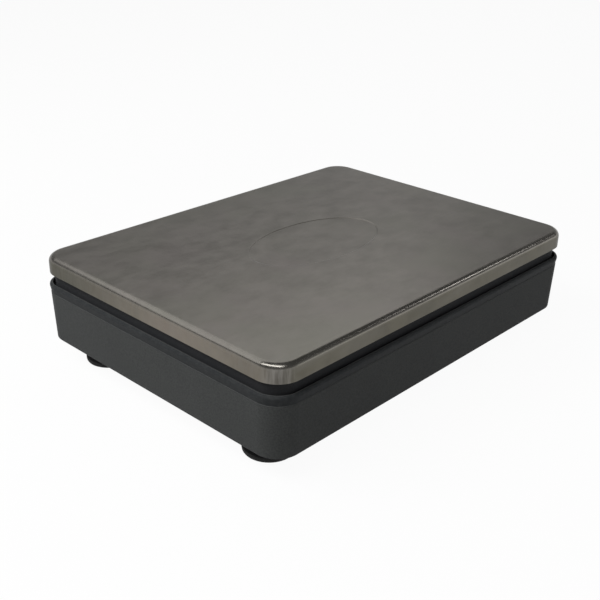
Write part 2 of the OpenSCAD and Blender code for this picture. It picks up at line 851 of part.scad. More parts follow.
// Tube of triangles along a route
module tube(p, r, sides) {
  rings = len(p);
  points = [for (i = [0:rings - 1]) each ring(p, i, r, sides)];
  walls = [
    for (i = [0:rings - 2], k = [0:sides - 1])
      let (a = i * sides + k, b = i * sides + (k + 1) % sides)
      each [[a, a + sides, b], [b, a + sides, b + sides]]
  ];
  last = (rings - 1) * sides;
  ends = [for (k = [1:sides - 2]) each [[0, k, k + 1], [last, last + k + 1, last + k]]];
  polyhedron(points, concat(walls, ends));
}

module load_cell_cable() {
  color(DARK) tube(cable_points, cable_d / 2, cable_sides);
}

module cable_clip() {
  inner_d = cable_d + 2 * drop_gap;
  outer_d = inner_d + 2 * clip_t;
  color(DARK) translate([clip_x, clip_y, 0]) difference() {
    union() {
      translate([0, clip_w / 2, clip_z]) rotate([90, 0, 0]) cylinder(d = outer_d, h = clip_w);
      block([outer_d, clip_w, clip_z - z_floor], 0, 0, z_floor);
      block([clip_foot_l, clip_w, clip_t], clip_screw_x - clip_x, 0, z_floor);
    }
    translate([0, clip_w, clip_z]) rotate([90, 0, 0]) cylinder(d = inner_d, h = 2 * clip_w);
    block([inner_d, 2 * clip_w, clip_z - z_floor + cut], 0, 0, z_floor - cut);
    block([2 * outer_d, 2 * clip_w, outer_d], 0, 0, z_floor - outer_d);
    translate([clip_screw_x - clip_x, 0, 0]) bar(m3_d + 2 * fit_gap, z_floor - cut, z_floor + clip_t + cut);
  }
}

module clip_screw() {
  color(ZINC) translate([clip_screw_x, clip_y, 0]) {
    bar(m3_head_d, z_floor + clip_t, z_floor + clip_t + m3_head_h);
    bar(m3_d, z_chassis, z_floor + clip_t);
  }
}

// Lays a shape drawn in X and Z so that it stands in the back wall, front face at y and thick towards -Y
module facing_back(y, t) {
  translate([0, y, z_socket]) rotate([90, 0, 0]) linear_extrude(t) children();
}

// Outline of the socket's tapered shell, shrunk by a margin
module shell_outline(margin) {
  half_top = shell_top_w / 2 - margin;
  half_bottom = shell_bottom_w / 2 - margin;
  half_h = shell_h / 2 - margin;
  polygon([[-half_bottom, -half_h], [half_bottom, -half_h], [half_top, half_h], [-half_top, half_h]]);
}

module connector_plate() {
  plate_h = z_socket + recess_h / 2 + recess_t - z_floor;
  color(ZINC) difference() {
    union() {
      block([2 * plate_half_w, plate_t, plate_h], 0, y_plate - plate_t / 2, z_floor);
      block([2 * plate_half_w, plate_foot_d + plate_t, plate_t],
        0, y_plate - (plate_foot_d + plate_t) / 2, z_floor);
    }
    facing_back(y_plate + cut, plate_t + 2 * cut) {
      shell_outline(0);
      at_two(jack_x) circle(d = jack_shank_d + 2 * drop_gap);
    }
    at_two(plate_screw_x, plate_screw_y) bar(m3_d + 2 * fit_gap, z_floor - cut, z_floor + plate_t + cut);
  }
}

module plate_screws() {
  color(ZINC) at_two(plate_screw_x, plate_screw_y) {
    bar(m3_head_d, z_floor + plate_t, z_floor + plate_t + m3_head_h);
    bar(m3_d, z_chassis, z_floor + plate_t);
  }
}

module data_socket() {
  color(ZINC) {
    facing_back(y_plate + socket_flange_t, socket_flange_t) difference() {
      square(socket_flange, center = true);
      shell_outline(shell_t);
      at_two(jack_x) circle(d = jack_shank_d + 2 * drop_gap);
    }
    facing_back(y_plate + socket_flange_t + shell_l, shell_l) difference() {
      shell_outline(0);
      shell_outline(shell_t);
    }
  }
}

module socket_insert() {
  front_y = y_plate + socket_flange_t + shell_l - insert_set_in;
  color(DARK) difference() {
    union() {
      facing_back(front_y, front_y - y_plate_inner) shell_outline(shell_t + fit_gap);
      facing_back(y_plate_inner, insert_block_l) difference() {
        translate([0, -(socket_rise - socket_flange[1] / 2) / 2])
          square([socket_flange[0], socket_rise + socket_flange[1] / 2], center = true);
        at_two(jack_x) circle(d = jack_shank_d + 2 * fit_gap);
      }
    }
    for (row = [0, 1], i = [0:4 - row])
      translate([(i - (4 - row) / 2) * contact_gap, front_y + cut, z_socket + (0.5 - row) * contact_row_gap])
        rotate([90, 0, 0]) cylinder(d = contact_d, h = contact_depth + cut, $fn = 16);
  }
}

module jackscrews() {
  front_y = y_plate + socket_flange_t + jack_l;
  color(ZINC) at_two(jack_x) translate([0, front_y, z_socket]) rotate([90, 0, 0]) difference() {
    union() {
      cylinder(d = jack_hex_d, h = jack_l, $fn = 6);
      cylinder(d = jack_shank_d, h = jack_l + socket_flange_t + plate_t + jack_shank_l);
    }
    translate([0, 0, -cut]) cylinder(d = jack_bore_d, h = jack_bore_l + cut);
  }
}

module calibration_jumper() {
  color("firebrick") block(jumper_size, jumper_x, jumper_y, z_board - jumper_size[2]);
}

module calibration_cover() {
  color(ZINC) difference() {
    block([cover_size[0] - 2 * drop_gap, cover_size[1] - 2 * drop_gap, cover_plate_t],
      jumper_x, jumper_y, z_chassis);
    translate([jumper_x, jumper_y, 0]) at_two(seal_screw_x) {
      bar(m3_d + 2 * fit_gap, z_chassis - cut, z_floor);
      translate([0, 0, z_chassis])
        cylinder(d1 = m3_head_d + 2 * fit_gap, d2 = m3_d + 2 * fit_gap, h = countersink_h);
    }
  }
}

module seal_screws() {
  color(BRASS) translate([jumper_x, jumper_y, z_chassis]) at_two(seal_screw_x) {
    cylinder(d1 = m3_head_d, d2 = m3_d, h = countersink_h);
    bar(m3_d, countersink_h, seal_screw_l);
  }
}

module foot_inserts() {
  color(BRASS) at_four(foot_x, foot_y) difference() {
    bar(insert_d, z_chassis, z_boss);
    bar(stud_d + 2 * fit_gap, z_chassis - cut, z_boss + cut);
  }
}

module foot_locknuts() {
  color(ZINC) at_four(foot_x, foot_y) difference() {
    hex_bar(locknut_d, z_chassis - locknut_h, z_chassis);
    bar(stud_d + 2 * fit_gap, z_chassis - locknut_h - cut, z_chassis + cut);
  }
}

// Threaded stud with a wrench hexagon and a flange that turns in the pad, held under its lip
module foot_stud(foot) {
  color(ZINC) translate([foot[1] * foot_x, foot[2] * foot_y, 0]) {
    bar(foot_socket_d - 2 * drop_gap, foot_t - foot_socket_h, foot_t - foot_socket_h + foot_flange_h);
    bar(foot_neck_d, foot_t - foot_socket_h + foot_flange_h, foot_t);
    hex_bar(foot_hex_d, foot_t, foot_t + foot_hex_h);
    bar(stud_d, foot_t + foot_hex_h, z_boss - stud_reach);
  }
}

// Half section of a foot pad: flat sole, rounded edge and sloping crown
module foot_profile() {
  foot_r = foot_d / 2;
  difference() {
    union() {
      square([foot_r - foot_edge_r, foot_t]);
      translate([0, foot_edge_r]) square([foot_r, foot_rim_h - foot_edge_r]);
      translate([foot_r - foot_edge_r, foot_edge_r]) mirror([0, 1]) quarter(foot_edge_r);
    }
    polygon([
      [foot_r + cut, foot_rim_h], [foot_r, foot_rim_h], [foot_crown_d / 2, foot_t],
      [foot_crown_d / 2, foot_t + cut], [foot_r + cut, foot_t + cut]
    ]);
    translate([0, foot_t - foot_socket_h]) square([foot_socket_d / 2, foot_flange_h + drop_gap]);
    translate([0, foot_t - foot_socket_h]) square([foot_neck_d / 2 + drop_gap, foot_socket_h + cut]);
  }
}

module foot_pad(foot) {
  color(RUBBER) translate([foot[1] * foot_x, foot[2] * foot_y, 0]) rotate_extrude() foot_profile();
}

platter();
platter_pins();
platter_pads();
spider();
spider_bolts();
upper_spacer();
load_cell();
gauge_covers();
load_cell_bolts();
lower_spacer();
stop_screws();
stop_locknuts();
chassis();
housing();
housing_screws();
deck_cover();
deck_seal();
deck_screws();
level_holder();
level_vial();
level_screws();
main_board();
board_screws();
shield_can();
board_chips();
board_capacitors();
cable_header();
cable_plug();
load_cell_cable();
cable_clip();
clip_screw();
connector_plate();
plate_screws();
data_socket();
socket_insert();
jackscrews();
calibration_jumper();
calibration_cover();
seal_screws();
foot_inserts();
foot_locknuts();
for (foot = FEET) {
  foot_stud(foot);
  foot_pad(foot);
}
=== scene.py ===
import json
import math

import bmesh
import bpy
from mathutils import Matrix, Vector

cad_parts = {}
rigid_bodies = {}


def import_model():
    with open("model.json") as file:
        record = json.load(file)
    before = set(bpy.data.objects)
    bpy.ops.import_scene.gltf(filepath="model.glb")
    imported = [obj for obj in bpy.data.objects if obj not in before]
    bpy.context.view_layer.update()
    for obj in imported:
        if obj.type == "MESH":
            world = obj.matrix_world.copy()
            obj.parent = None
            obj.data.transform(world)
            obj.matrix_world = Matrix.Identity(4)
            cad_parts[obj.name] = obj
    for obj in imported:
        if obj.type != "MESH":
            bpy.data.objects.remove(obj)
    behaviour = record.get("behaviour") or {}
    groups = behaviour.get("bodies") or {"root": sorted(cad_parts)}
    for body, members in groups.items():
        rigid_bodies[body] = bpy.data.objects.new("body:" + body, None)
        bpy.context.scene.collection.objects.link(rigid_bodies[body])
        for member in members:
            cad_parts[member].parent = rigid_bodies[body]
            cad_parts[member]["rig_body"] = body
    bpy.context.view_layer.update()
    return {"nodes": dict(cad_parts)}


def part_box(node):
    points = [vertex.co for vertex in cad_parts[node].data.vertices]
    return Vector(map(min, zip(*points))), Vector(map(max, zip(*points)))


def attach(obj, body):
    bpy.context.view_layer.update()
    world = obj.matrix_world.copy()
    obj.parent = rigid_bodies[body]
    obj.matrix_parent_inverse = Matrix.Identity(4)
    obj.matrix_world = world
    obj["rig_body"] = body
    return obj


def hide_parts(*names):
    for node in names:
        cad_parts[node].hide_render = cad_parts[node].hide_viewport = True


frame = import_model()
NODES = frame["nodes"]
SLOT_OF = {name: node.material_slots[0].material.name for name, node in NODES.items()}

MM = 0.001
QUARTER = math.pi / 2
UP = 1
DOWN = -1


def tidied(length):
    """A length of the frame without its rounding error."""
    return round(length, 6)


# Rounded rectangle that the platter and the housing share in plan: its corner centres
CORNER_R = 21 * MM
PLATTER_LOW, PLATTER_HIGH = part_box("platter")
ARC_X = tidied(PLATTER_HIGH.x - CORNER_R)
ARC_Y = tidied(PLATTER_HIGH.y - CORNER_R)
CORNERS = ((1, 1), (-1, 1), (-1, -1), (1, -1))
ARC_STEPS = 14
SIDE_STEPS = 22

# Dressing of CAD solids: welding distance, what counts as flat, and which edges are sharp, in degrees
WELD = 0.002 * MM
FLAT_ANGLE = 0.6
SHARP_ANGLE = 38
EDGE_LAYER = "edge"

BEVEL_SEGMENTS = 2

# Most of an outline's straight run that the fillets at its ends may take up
FILLET_ROOM = 0.98

# Sides of a round bar in a boolean
PILLAR_STEPS = 40


# Shaping helpers


def rounded_ring(reach, z, side_steps=SIDE_STEPS):
    """Closed ring of points round the shared rectangle, reach outwards from its corner centres."""
    points = []
    for i, (sx, sy) in enumerate(CORNERS):
        centre = Vector((sx * ARC_X, sy * ARC_Y, z))
        for k in range(ARC_STEPS + 1):
            angle = QUARTER * (i + k / ARC_STEPS)
            points.append(centre + Vector((math.cos(angle), math.sin(angle), 0)) * reach)
        nx, ny = CORNERS[(i + 1) % 4]
        angle = QUARTER * (i + 1)
        end = Vector((nx * ARC_X, ny * ARC_Y, z)) + Vector((math.cos(angle), math.sin(angle), 0)) * reach
        start = points[-1]
        points.extend(start.lerp(end, k / side_steps) for k in range(1, side_steps))
    return points


def star_ring(place, z, radius_at, count):
    """Closed ring of points whose radius is a function of the angle."""
    ring = []
    for k in range(count):
        angle = 2 * math.pi * k / count
        radius = radius_at(angle)
        ring.append(Vector((place[0] + radius * math.cos(angle), place[1] + radius * math.sin(angle), z)))
    return ring


def circle_ring(place, z, radius, count):
    """Closed ring of evenly spaced points."""
    return star_ring(place, z, lambda angle: radius, count)


def loft(mesh, rings, wear=None, closed=False):
    """Skins consecutive rings. A ring of one point closes an end, and wear gives each ring's edge value."""
    layer = mesh.verts.layers.float.get(EDGE_LAYER) or mesh.verts.layers.float.new(EDGE_LAYER)
    rows = []
    for i, ring in enumerate(rings):
        row = [mesh.verts.new(point) for point in ring]
        for vert in row:
            vert[layer] = wear[i] if wear else 0.0
        rows.append(row)
    pairs = list(zip(rows, rows[1:]))
    if closed:
        pairs.append((rows[-1], rows[0]))
    for lower, upper in pairs:
        count = max(len(lower), len(upper))
        for k in range(count):
            n = (k + 1) % count
            corners = [lower[k % len(lower)], lower[n % len(lower)]]
            corners += [upper[n % len(upper)], upper[k % len(upper)]]
            mesh.faces.new(list(dict.fromkeys(corners)))


def fillet(corners, steps, closed=True):
    """Outline (x, z, wear) of corners (x, z, radius), each rounded. In a hollow the wear is negative."""
    count = len(corners)
    area = 0.0
    for i in range(count):
        x0, z0, _ = corners[i]
        x1, z1, _ = corners[(i + 1) % count]
        area += x0 * z1 - x1 * z0
    outline = []
    for i, (x, z, radius) in enumerate(corners):
        at_end = not closed and i in (0, count - 1)
        if radius <= 0 or at_end:
            outline.append((x, z, 0.0))
            continue
        here = Vector((x, z))
        before = Vector(corners[i - 1][:2]) - here
        after = Vector(corners[(i + 1) % count][:2]) - here
        half = before.angle(after) / 2
        share = [FILLET_ROOM * radius / (radius + corners[k % count][2]) for k in (i - 1, i + 1)]
        back = min(radius / math.tan(half), before.length * share[0], after.length * share[1])
        radius = back * math.tan(half)
        inwards = (before.normalized() + after.normalized()).normalized()
        centre = here + inwards * (radius / math.sin(half))
        start = here + before.normalized() * back - centre
        end = here + after.normalized() * back - centre
        turn = start.angle_signed(end)
        convex = (before.x * after.y - before.y * after.x) * area < 0
        for k in range(steps + 1):
            arm = start.copy()
            arm.rotate(Matrix.Rotation(-turn * k / steps, 2))
            wear = math.sin(math.pi * k / steps)
            outline.append((centre.x + arm.x, centre.y + arm.y, wear if convex else -wear))
    return outline


def lathe(mesh, place, outline, steps, closed=True):
    """Turns an outline of (radius, z, wear) round an upright axis. A radius of nought is a pole."""
    rings = []
    for radius, z, _ in outline:
        if radius > 0:
            rings.append(circle_ring(place, z, radius, steps))
        else:
            rings.append([Vector((*place, z))])
    loft(mesh, rings, [wear for _, _, wear in outline], closed)


def pillar(mesh, place, radius, low, high):
    """Upright round bar for a boolean."""
    outline = [(0, low, 0), (radius, low, 0), (radius, high, 0), (0, high, 0)]
    lathe(mesh, place, outline, PILLAR_STEPS, closed=False)


def block(mesh, low, high):
    """Box between two corners, for a boolean."""
    plan = ((low[0], low[1]), (high[0], low[1]), (high[0], high[1]), (low[0], high[1]))
    rings = [[Vector((x, y, z)) for x, y in plan] for z in (low[2], high[2])]
    ends = [Vector(((low[0] + high[0]) / 2, (low[1] + high[1]) / 2, z)) for z in (low[2], high[2])]
    loft(mesh, [[ends[0]], *rings, [ends[1]]])


def combine(base, other, operation):
    """Boolean of two closed bmeshes. Both are used up."""
    objects = []
    for mesh in (base, other):
        bmesh.ops.recalc_face_normals(mesh, faces=mesh.faces)
        data = bpy.data.meshes.new("boolean")
        mesh.to_mesh(data)
        mesh.free()
        objects.append(bpy.data.objects.new("boolean", data))
        bpy.context.scene.collection.objects.link(objects[-1])
    modifier = objects[0].modifiers.new("boolean", "BOOLEAN")
    modifier.operation = operation
    modifier.solver = "EXACT"
    modifier.use_self = True
    modifier.object = objects[1]
    graph = bpy.context.evaluated_depsgraph_get()
    result = bmesh.new()
    result.from_mesh(objects[0].evaluated_get(graph).to_mesh())
    for used in objects:
        bpy.data.objects.remove(used)
    bmesh.ops.dissolve_degenerate(result, dist=WELD, edges=result.edges)
    return result


def dressed(node, bevel):
    """Copy of a CAD solid with its flat faces whole and its sharp edges broken."""
    mesh = bmesh.new()
    mesh.from_mesh(NODES[node].data)
    bmesh.ops.remove_doubles(mesh, verts=mesh.verts, dist=WELD)
    bmesh.ops.dissolve_limit(mesh, angle_limit=math.radians(FLAT_ANGLE), verts=mesh.verts, edges=mesh.edges)
    limit = math.radians(SHARP_ANGLE)
    sharp = [e for e in mesh.edges if e.is_manifold and e.calc_face_angle() > limit]
    made = bmesh.ops.bevel(mesh, geom=sharp, offset=bevel, offset_type="OFFSET", affect="EDGES",
                           segments=BEVEL_SEGMENTS, profile=0.5, clamp_overlap=True)
    layer = mesh.verts.layers.float.new(EDGE_LAYER)
    rounded = set(made["faces"])
    for vert in mesh.verts:
        vert[layer] = 1.0 if vert.link_faces and rounded.issuperset(vert.link_faces) else 0.0
    return mesh


def solids_of(node):
    """Boxes (low, high) of the separate solids in a CAD node, from left to right."""
    mesh = bmesh.new()
    mesh.from_mesh(NODES[node].data)
    bmesh.ops.remove_doubles(mesh, verts=mesh.verts, dist=WELD)
    seen = set()
    boxes = []
    for first in mesh.verts:
        if first in seen:
            continue
        seen.add(first)
        found = [first]
        for vert in found:
            for edge in vert.link_edges:
                other = edge.other_vert(vert)
                if other not in seen:
                    seen.add(other)
                    found.append(other)
        low = Vector([min(v.co[i] for v in found) for i in range(3)])
        high = Vector([max(v.co[i] for v in found) for i in range(3)])
        boxes.append((low, high))
    mesh.free()
    return sorted(boxes, key=lambda box: tuple(tidied(c) for c in box[0]))


def plan_middle(low, high):
    """Middle of a box in plan."""
    return ((low.x + high.x) / 2, (low.y + high.y) / 2)


def in_finish(name, mesh, slot, crease):
    """Object of a bmesh, which is used up, with the finish of a slot and edges sharp above crease degrees."""
    bmesh.ops.recalc_face_normals(mesh, faces=mesh.faces)
    data = bpy.data.meshes.new(name)
    mesh.to_mesh(data)
    mesh.free()
    if "custom_normal" in data.attributes:
        data.attributes.remove(data.attributes["custom_normal"])
    data.materials.clear()
    data.polygons.foreach_set("use_smooth", [True] * len(data.polygons))
    data.polygons.foreach_set("material_index", [0] * len(data.polygons))
    data.set_sharp_from_angle(angle=math.radians(crease))
    data.materials.append(FINISHES[slot])
    made = bpy.data.objects.new(name, data)
    bpy.context.scene.collection.objects.link(made)
    return made


def piece(name, mesh, node, crease=SHARP_ANGLE):
    """Piece that stands for a CAD node, on its body and in its finish."""
    made = in_finish(name, mesh, SLOT_OF[node], crease)
    weighted = made.modifiers.new("flat_faces", "WEIGHTED_NORMAL")
    weighted.keep_sharp = True
    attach(made, NODES[node]["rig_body"])
    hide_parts(node)


def loose(name, mesh, body, slot):
    """Small piece that stands for no CAD node of its own."""
    made = in_finish(name, mesh, slot, SHARP_ANGLE)
    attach(made, body)


# Finishes, in object coordinates in metres

# Ranges that hold most of a noise, and the middle part of it
MOST = (0.3, 0.7)
MIDDLE = (0.35, 0.65)

# Platter: colours of the top, of its sides in painted sheen and painted shade, and of its drawn corners
STEEL = ((0.146, 0.137, 0.122), (0.195, 0.183, 0.165))
STEEL_ROSE = (0.189, 0.170, 0.160)
STEEL_OLIVE = (0.170, 0.168, 0.141)
STEEL_STREAK = (0.20, 0.193, 0.18)
STEEL_EDGE = (0.24, 0.23, 0.215)
# Painted sheen and painted shade for the platter's sides
PAINTED_SHEEN_SIDE = ((0.165, 0.150, 0.122), (0.192, 0.166, 0.140), (0.215, 0.192, 0.160))
PAINTED_SHADE_SIDE = ((0.082, 0.078, 0.0615), (0.108, 0.102, 0.080))
DRAWN = ((0.075, 0.069, 0.060), (0.21, 0.20, 0.185))
DRAWN_REACH = 15 * MM

# Where along Y the painted sheen of the platter's sides grows to its full share, and where it fades out to
# painted shade
PAINTED_SHEEN_START = (-150 * MM, -50 * MM)
PAINTED_SHEEN_FADE = (-30 * MM, 115 * MM)

# How much smoother a rubbed edge of moulded plastic is
EDGE_POLISH = 0.12


class Finish:
    """Material put together node by node."""

    def __init__(self, name, sockets):
        self.material = bpy.data.materials.new("finish_" + name)
        self.material.use_nodes = True
        self.nodes = self.material.node_tree.nodes
        self.links = self.material.node_tree.links
        self.surface = self.nodes["Principled BSDF"]
        self.place = self.nodes.new("ShaderNodeTexCoord").outputs["Object"]
        worn_or_shaded = self.nodes.new("ShaderNodeAttribute")
        worn_or_shaded.attribute_name = EDGE_LAYER
        self.edge = worn_or_shaded.outputs["Fac"]
        self.feed(self.surface, sockets)

    def feed(self, node, inputs):
        """Sets sockets to values, or links them to other sockets."""
        for socket, value in inputs.items():
            if isinstance(value, bpy.types.NodeSocket):
                self.links.new(value, node.inputs[socket])
            else:
                node.inputs[socket].default_value = value

    def split(self, vector):
        """The X, Y and Z of a vector."""
        node = self.nodes.new("ShaderNodeSeparateXYZ")
        self.feed(node, {0: vector})
        return node.outputs

    def noise(self, scale, detail, roughness, stretch=None):
        """Noise with scale features to the metre, stretched along the axes."""
        where = self.place
        if stretch:
            mapping = self.nodes.new("ShaderNodeMapping")
            self.feed(mapping, {"Vector": where, "Scale": stretch})
            where = mapping.outputs["Vector"]
        node = self.nodes.new("ShaderNodeTexNoise")
        self.feed(node, {"Vector": where, "Scale": scale, "Detail": detail, "Roughness": roughness})
        return node.outputs["Fac"]

    def cells(self, scale, feature="F1"):
        """Distance in a pattern of cells, scale of them to the metre."""
        node = self.nodes.new("ShaderNodeTexVoronoi")
        node.feature = feature
        self.feed(node, {"Vector": self.place, "Scale": scale})
        return node.outputs["Distance"]

    def span(self, value, low, high, start=0.0, end=1.0):
        """Eases a value from low..high to start..end."""
        node = self.nodes.new("ShaderNodeMapRange")
        node.interpolation_type = "SMOOTHSTEP"
        self.feed(node, {"Value": value, "From Min": low, "From Max": high, "To Min": start, "To Max": end})
        return node.outputs["Result"]

    def math(self, operation, first, second):
        """One sum of two values."""
        node = self.nodes.new("ShaderNodeMath")
        node.operation = operation
        self.feed(node, {0: first, 1: second})
        return node.outputs["Value"]

    def times(self, first, second):
        """Product of two values."""
        return self.math("MULTIPLY", first, second)

    def size(self, value):
        """A value without its sign."""
        return self.math("ABSOLUTE", value, 0.0)

    def mix(self, factor, first, second):
        """Colour between two colours."""
        node = self.nodes.new("ShaderNodeMix")
        node.data_type = "RGBA"
        self.feed(node, {0: factor, 6: rgba(first), 7: rgba(second)})
        return node.outputs[2]

    def bump(self, height, depth, under=None):
        """Surface relief of a height field that is depth metres deep."""
        node = self.nodes.new("ShaderNodeBump")
        self.feed(node, {"Height": height, "Distance": depth, "Strength": 1.0})
        if under:
            self.feed(node, {"Normal": under})
        return node.outputs["Normal"]

    def done(self, colour, roughness, normal):
        """Links what varies over the surface to its shader."""
        self.feed(self.surface, {"Base Color": colour, "Roughness": roughness, "Normal": normal})
        return self.material


def rgba(colour):
    """A colour socket as it is, or three numbers with an alpha."""
    return colour if isinstance(colour, bpy.types.NodeSocket) else (*colour, 1.0)


def platter_steel():
    """Satin stainless sheet: mottled and faintly tinted, browner on its sides, with painted sheen and shade
    on them, and drawn corners.
    """
    f = Finish("platter_steel", {"Metallic": 1.0, "Specular Tint": (0.75, 0.75, 0.75, 1.0)})
    clouds = f.span(f.noise(48, 4, 0.62, (1, 1.4, 1)), 0.25, 0.75)
    rose = f.span(f.noise(13, 2, 0.5, (1.3, 1, 1)), 0.45, 0.7)
    olive = f.span(f.noise(10, 2, 0.5, (1, 1.2, 1)), 0.45, 0.7)
    rosy = f.mix(f.times(rose, 0.5), f.mix(clouds, *STEEL), STEEL_ROSE)
    top = f.mix(f.times(olive, 0.5), rosy, STEEL_OLIVE)
    facing = f.split(f.nodes.new("ShaderNodeNewGeometry").outputs["Normal"])
    place = f.split(f.place)
    upright = f.span(f.size(facing["Z"]), 0.2, 0.7, 1.0, 0.0)
    # Painted sheen and painted shade: the sides are darker towards the back and on the front side, standing
    # in for how they reflect
    sides = f.mix(painted_sheen_share(f, place["Y"], facing["Y"]), f.mix(clouds, *PAINTED_SHADE_SIDE), painted_sheen_colour(f, clouds))
    past_x = f.span(f.size(place["X"]), ARC_X, ARC_X + DRAWN_REACH)
    past_y = f.span(f.size(place["Y"]), ARC_Y, ARC_Y + DRAWN_REACH)
    drawn = f.times(f.times(past_x, past_y), upright)
    marks = f.noise(230, 3, 0.6, (1, 1, 0.12))
    marked = f.mix(f.span(marks, *MIDDLE), *DRAWN)
    whole = f.mix(f.times(drawn, 0.9), f.mix(upright, top, sides), marked)
    streaks = f.noise(420, 2, 0.5, (0.05, 1, 0.2))
    streaked = f.mix(f.span(streaks, *MOST, 0.0, 0.2), whole, STEEL_STREAK)
    colour = f.mix(f.times(f.edge, 0.2), streaked, STEEL_EDGE)
    satin = f.math("ADD", f.span(clouds, 0.0, 1.0, 0.315, 0.345), f.span(streaks, *MOST, -0.02, 0.02))
    rough = f.math("SUBTRACT", satin, f.times(f.edge, 0.11))
    dents = f.bump(f.noise(60, 1, 0.4), 0.0012 * MM)
    return f.done(colour, rough, f.bump(streaks, 0.0004 * MM, dents))


def painted_sheen_share(f, along, facing):
    """Share of the painted sheen on the platter's sides: little on the front side and none at the back, which
    keeps painted shade.
    """
    growing = f.span(along, *PAINTED_SHEEN_START, 0.55, 1.0)
    fading = f.span(along, *PAINTED_SHEEN_FADE, 1.0, 0.0)
    # Painted shade: the front side gets little of the sheen
    off_front = f.span(facing, -0.9, -0.3, 0.2, 1.0)
    return f.times(f.times(fading, growing), off_front)


def painted_sheen_colour(f, clouds):
    """Mottled painted sheen of the platter's sides."""
    slow = f.span(f.noise(11, 1, 0.5), *MIDDLE)
    brown, tan, pale = PAINTED_SHEEN_SIDE
    return f.mix(clouds, f.mix(slow, brown, tan), pale)


def moulded(name, dark, pale, worn_or_shaded, rough, grain, depth, level=0.3):
    """Moulded plastic with an eroded grain, slow colour changes, and smoother edges of their own colour,
    which on the housing's lip is painted shade.
    """
    f = Finish(name, {"Specular IOR Level": level})
    slow = f.span(f.noise(17, 3, 0.6), *MOST)
    specks = f.span(f.noise(grain * 0.5, 2, 0.6), 0.35, 0.7)
    speckled = f.mix(f.times(specks, 0.35), f.mix(slow, dark, pale), worn_or_shaded)
    patches = f.span(f.noise(260, 4, 0.7), 0.25, 0.75, 0.40, 0.60)
    # The edge colour is wear on most plastics, and painted shade where the housing's lip is marked
    rubbed = f.span(f.times(f.edge, patches), 0.15, 0.6)
    colour = f.mix(rubbed, speckled, worn_or_shaded)
    grains = f.noise(grain, 3, 0.65)
    matt = f.span(grains, *MOST, rough - 0.06, rough + 0.08)
    pits = f.bump(f.cells(grain * 0.7), depth * 0.6)
    rough_there = f.math("SUBTRACT", matt, f.times(rubbed, EDGE_POLISH))
    return f.done(colour, rough_there, f.bump(grains, depth, pits))


def plated(name, base, patch, tarnish, rough, brushed=(1, 1, 0.08)):
    """Plated or turned metal with clouded passivation, fine tool lines and bright edges."""
    f = Finish(name, {"Metallic": 1.0})
    clouds = f.span(f.noise(160, 3, 0.6), *MIDDLE)
    stains = f.span(f.noise(70, 4, 0.7), 0.55, 0.75)
    lines = f.noise(2200, 2, 0.6, brushed)
    stained = f.mix(f.times(stains, 0.6), f.mix(clouds, base, patch), tarnish)
    bright = tuple(min(1.0, c * 1.35) for c in base)
    colour = f.mix(f.times(f.edge, 0.6), stained, bright)
    satin = f.span(lines, *MOST, rough - 0.06, rough + 0.06)
    relief = f.bump(lines, 0.004 * MM, f.bump(f.noise(500, 3, 0.6), 0.006 * MM))
    return f.done(colour, f.math("ADD", satin, f.times(stains, 0.12)), relief)


def cast_metal():
    """Sand cast aluminium: grainy skin, pores, darker hollows and rubbed edges."""
    f = Finish("cast_aluminium", {"Metallic": 0.85})
    skin = f.noise(520, 4, 0.7)
    pores = f.span(f.cells(340), 0.0, 0.28, 1.0, 0.0)
    clouds = f.span(f.noise(24, 3, 0.6), *MOST)
    base = f.mix(clouds, (0.40, 0.405, 0.41), (0.50, 0.505, 0.51))
    grainy = f.mix(f.span(skin, *MIDDLE), base, (0.33, 0.335, 0.34))
    porous = f.mix(f.times(pores, 0.5), grainy, (0.16, 0.16, 0.16))
    colour = f.mix(f.times(f.edge, 0.6), porous, (0.66, 0.665, 0.67))
    rough = f.math("SUBTRACT", f.span(skin, *MOST, 0.5, 0.66), f.times(f.edge, 0.15))
    return f.done(colour, rough, f.bump(skin, 0.07 * MM, f.bump(pores, -0.05 * MM)))


def milled_metal():
    """Milled aluminium: cutter lines along the beam, faint smears and bright chamfers."""
    f = Finish("cell_aluminium", {"Metallic": 1.0})
    lines = f.noise(1500, 2, 0.6, (0.02, 1, 1))
    smears = f.span(f.noise(60, 3, 0.6), *MIDDLE)
    base = f.mix(smears, (0.52, 0.53, 0.54), (0.62, 0.63, 0.64))
    colour = f.mix(f.times(f.edge, 0.5), base, (0.78, 0.785, 0.79))
    return f.done(colour, f.span(lines, *MOST, 0.24, 0.38), f.bump(lines, 0.008 * MM))


def wrapped_foil():
    """Foil gauge cover: crinkled, with duller folds."""
    f = Finish("foil", {"Metallic": 1.0})
    folds = f.cells(420, "DISTANCE_TO_EDGE")
    crumple = f.noise(300, 4, 0.7)
    colour = f.mix(f.span(crumple, *MOST), (0.60, 0.60, 0.59), (0.74, 0.74, 0.73))
    rough = f.span(folds, 0.0, 0.2, 0.42, 0.24)
    return f.done(colour, rough, f.bump(folds, 0.12 * MM, f.bump(crumple, 0.08 * MM)))


def black_rubber():
    """Moulded rubber: matt black, a fine sandy grain, and grey bloom and dust on the edges."""
    f = Finish("rubber", {"Specular IOR Level": 0.22})
    grain = f.noise(1100, 3, 0.7)
    bloom = f.span(f.noise(90, 4, 0.7), 0.45, 0.75)
    base = f.mix(f.span(grain, *MOST), (0.006, 0.006, 0.006), (0.011, 0.011, 0.011))
    bloomed = f.mix(f.times(bloom, 0.4), base, (0.020, 0.020, 0.020))
    colour = f.mix(f.times(f.edge, 0.35), bloomed, (0.032, 0.032, 0.031))
    return f.done(colour, f.span(grain, *MOST, 0.62, 0.80), f.bump(grain, 0.03 * MM))


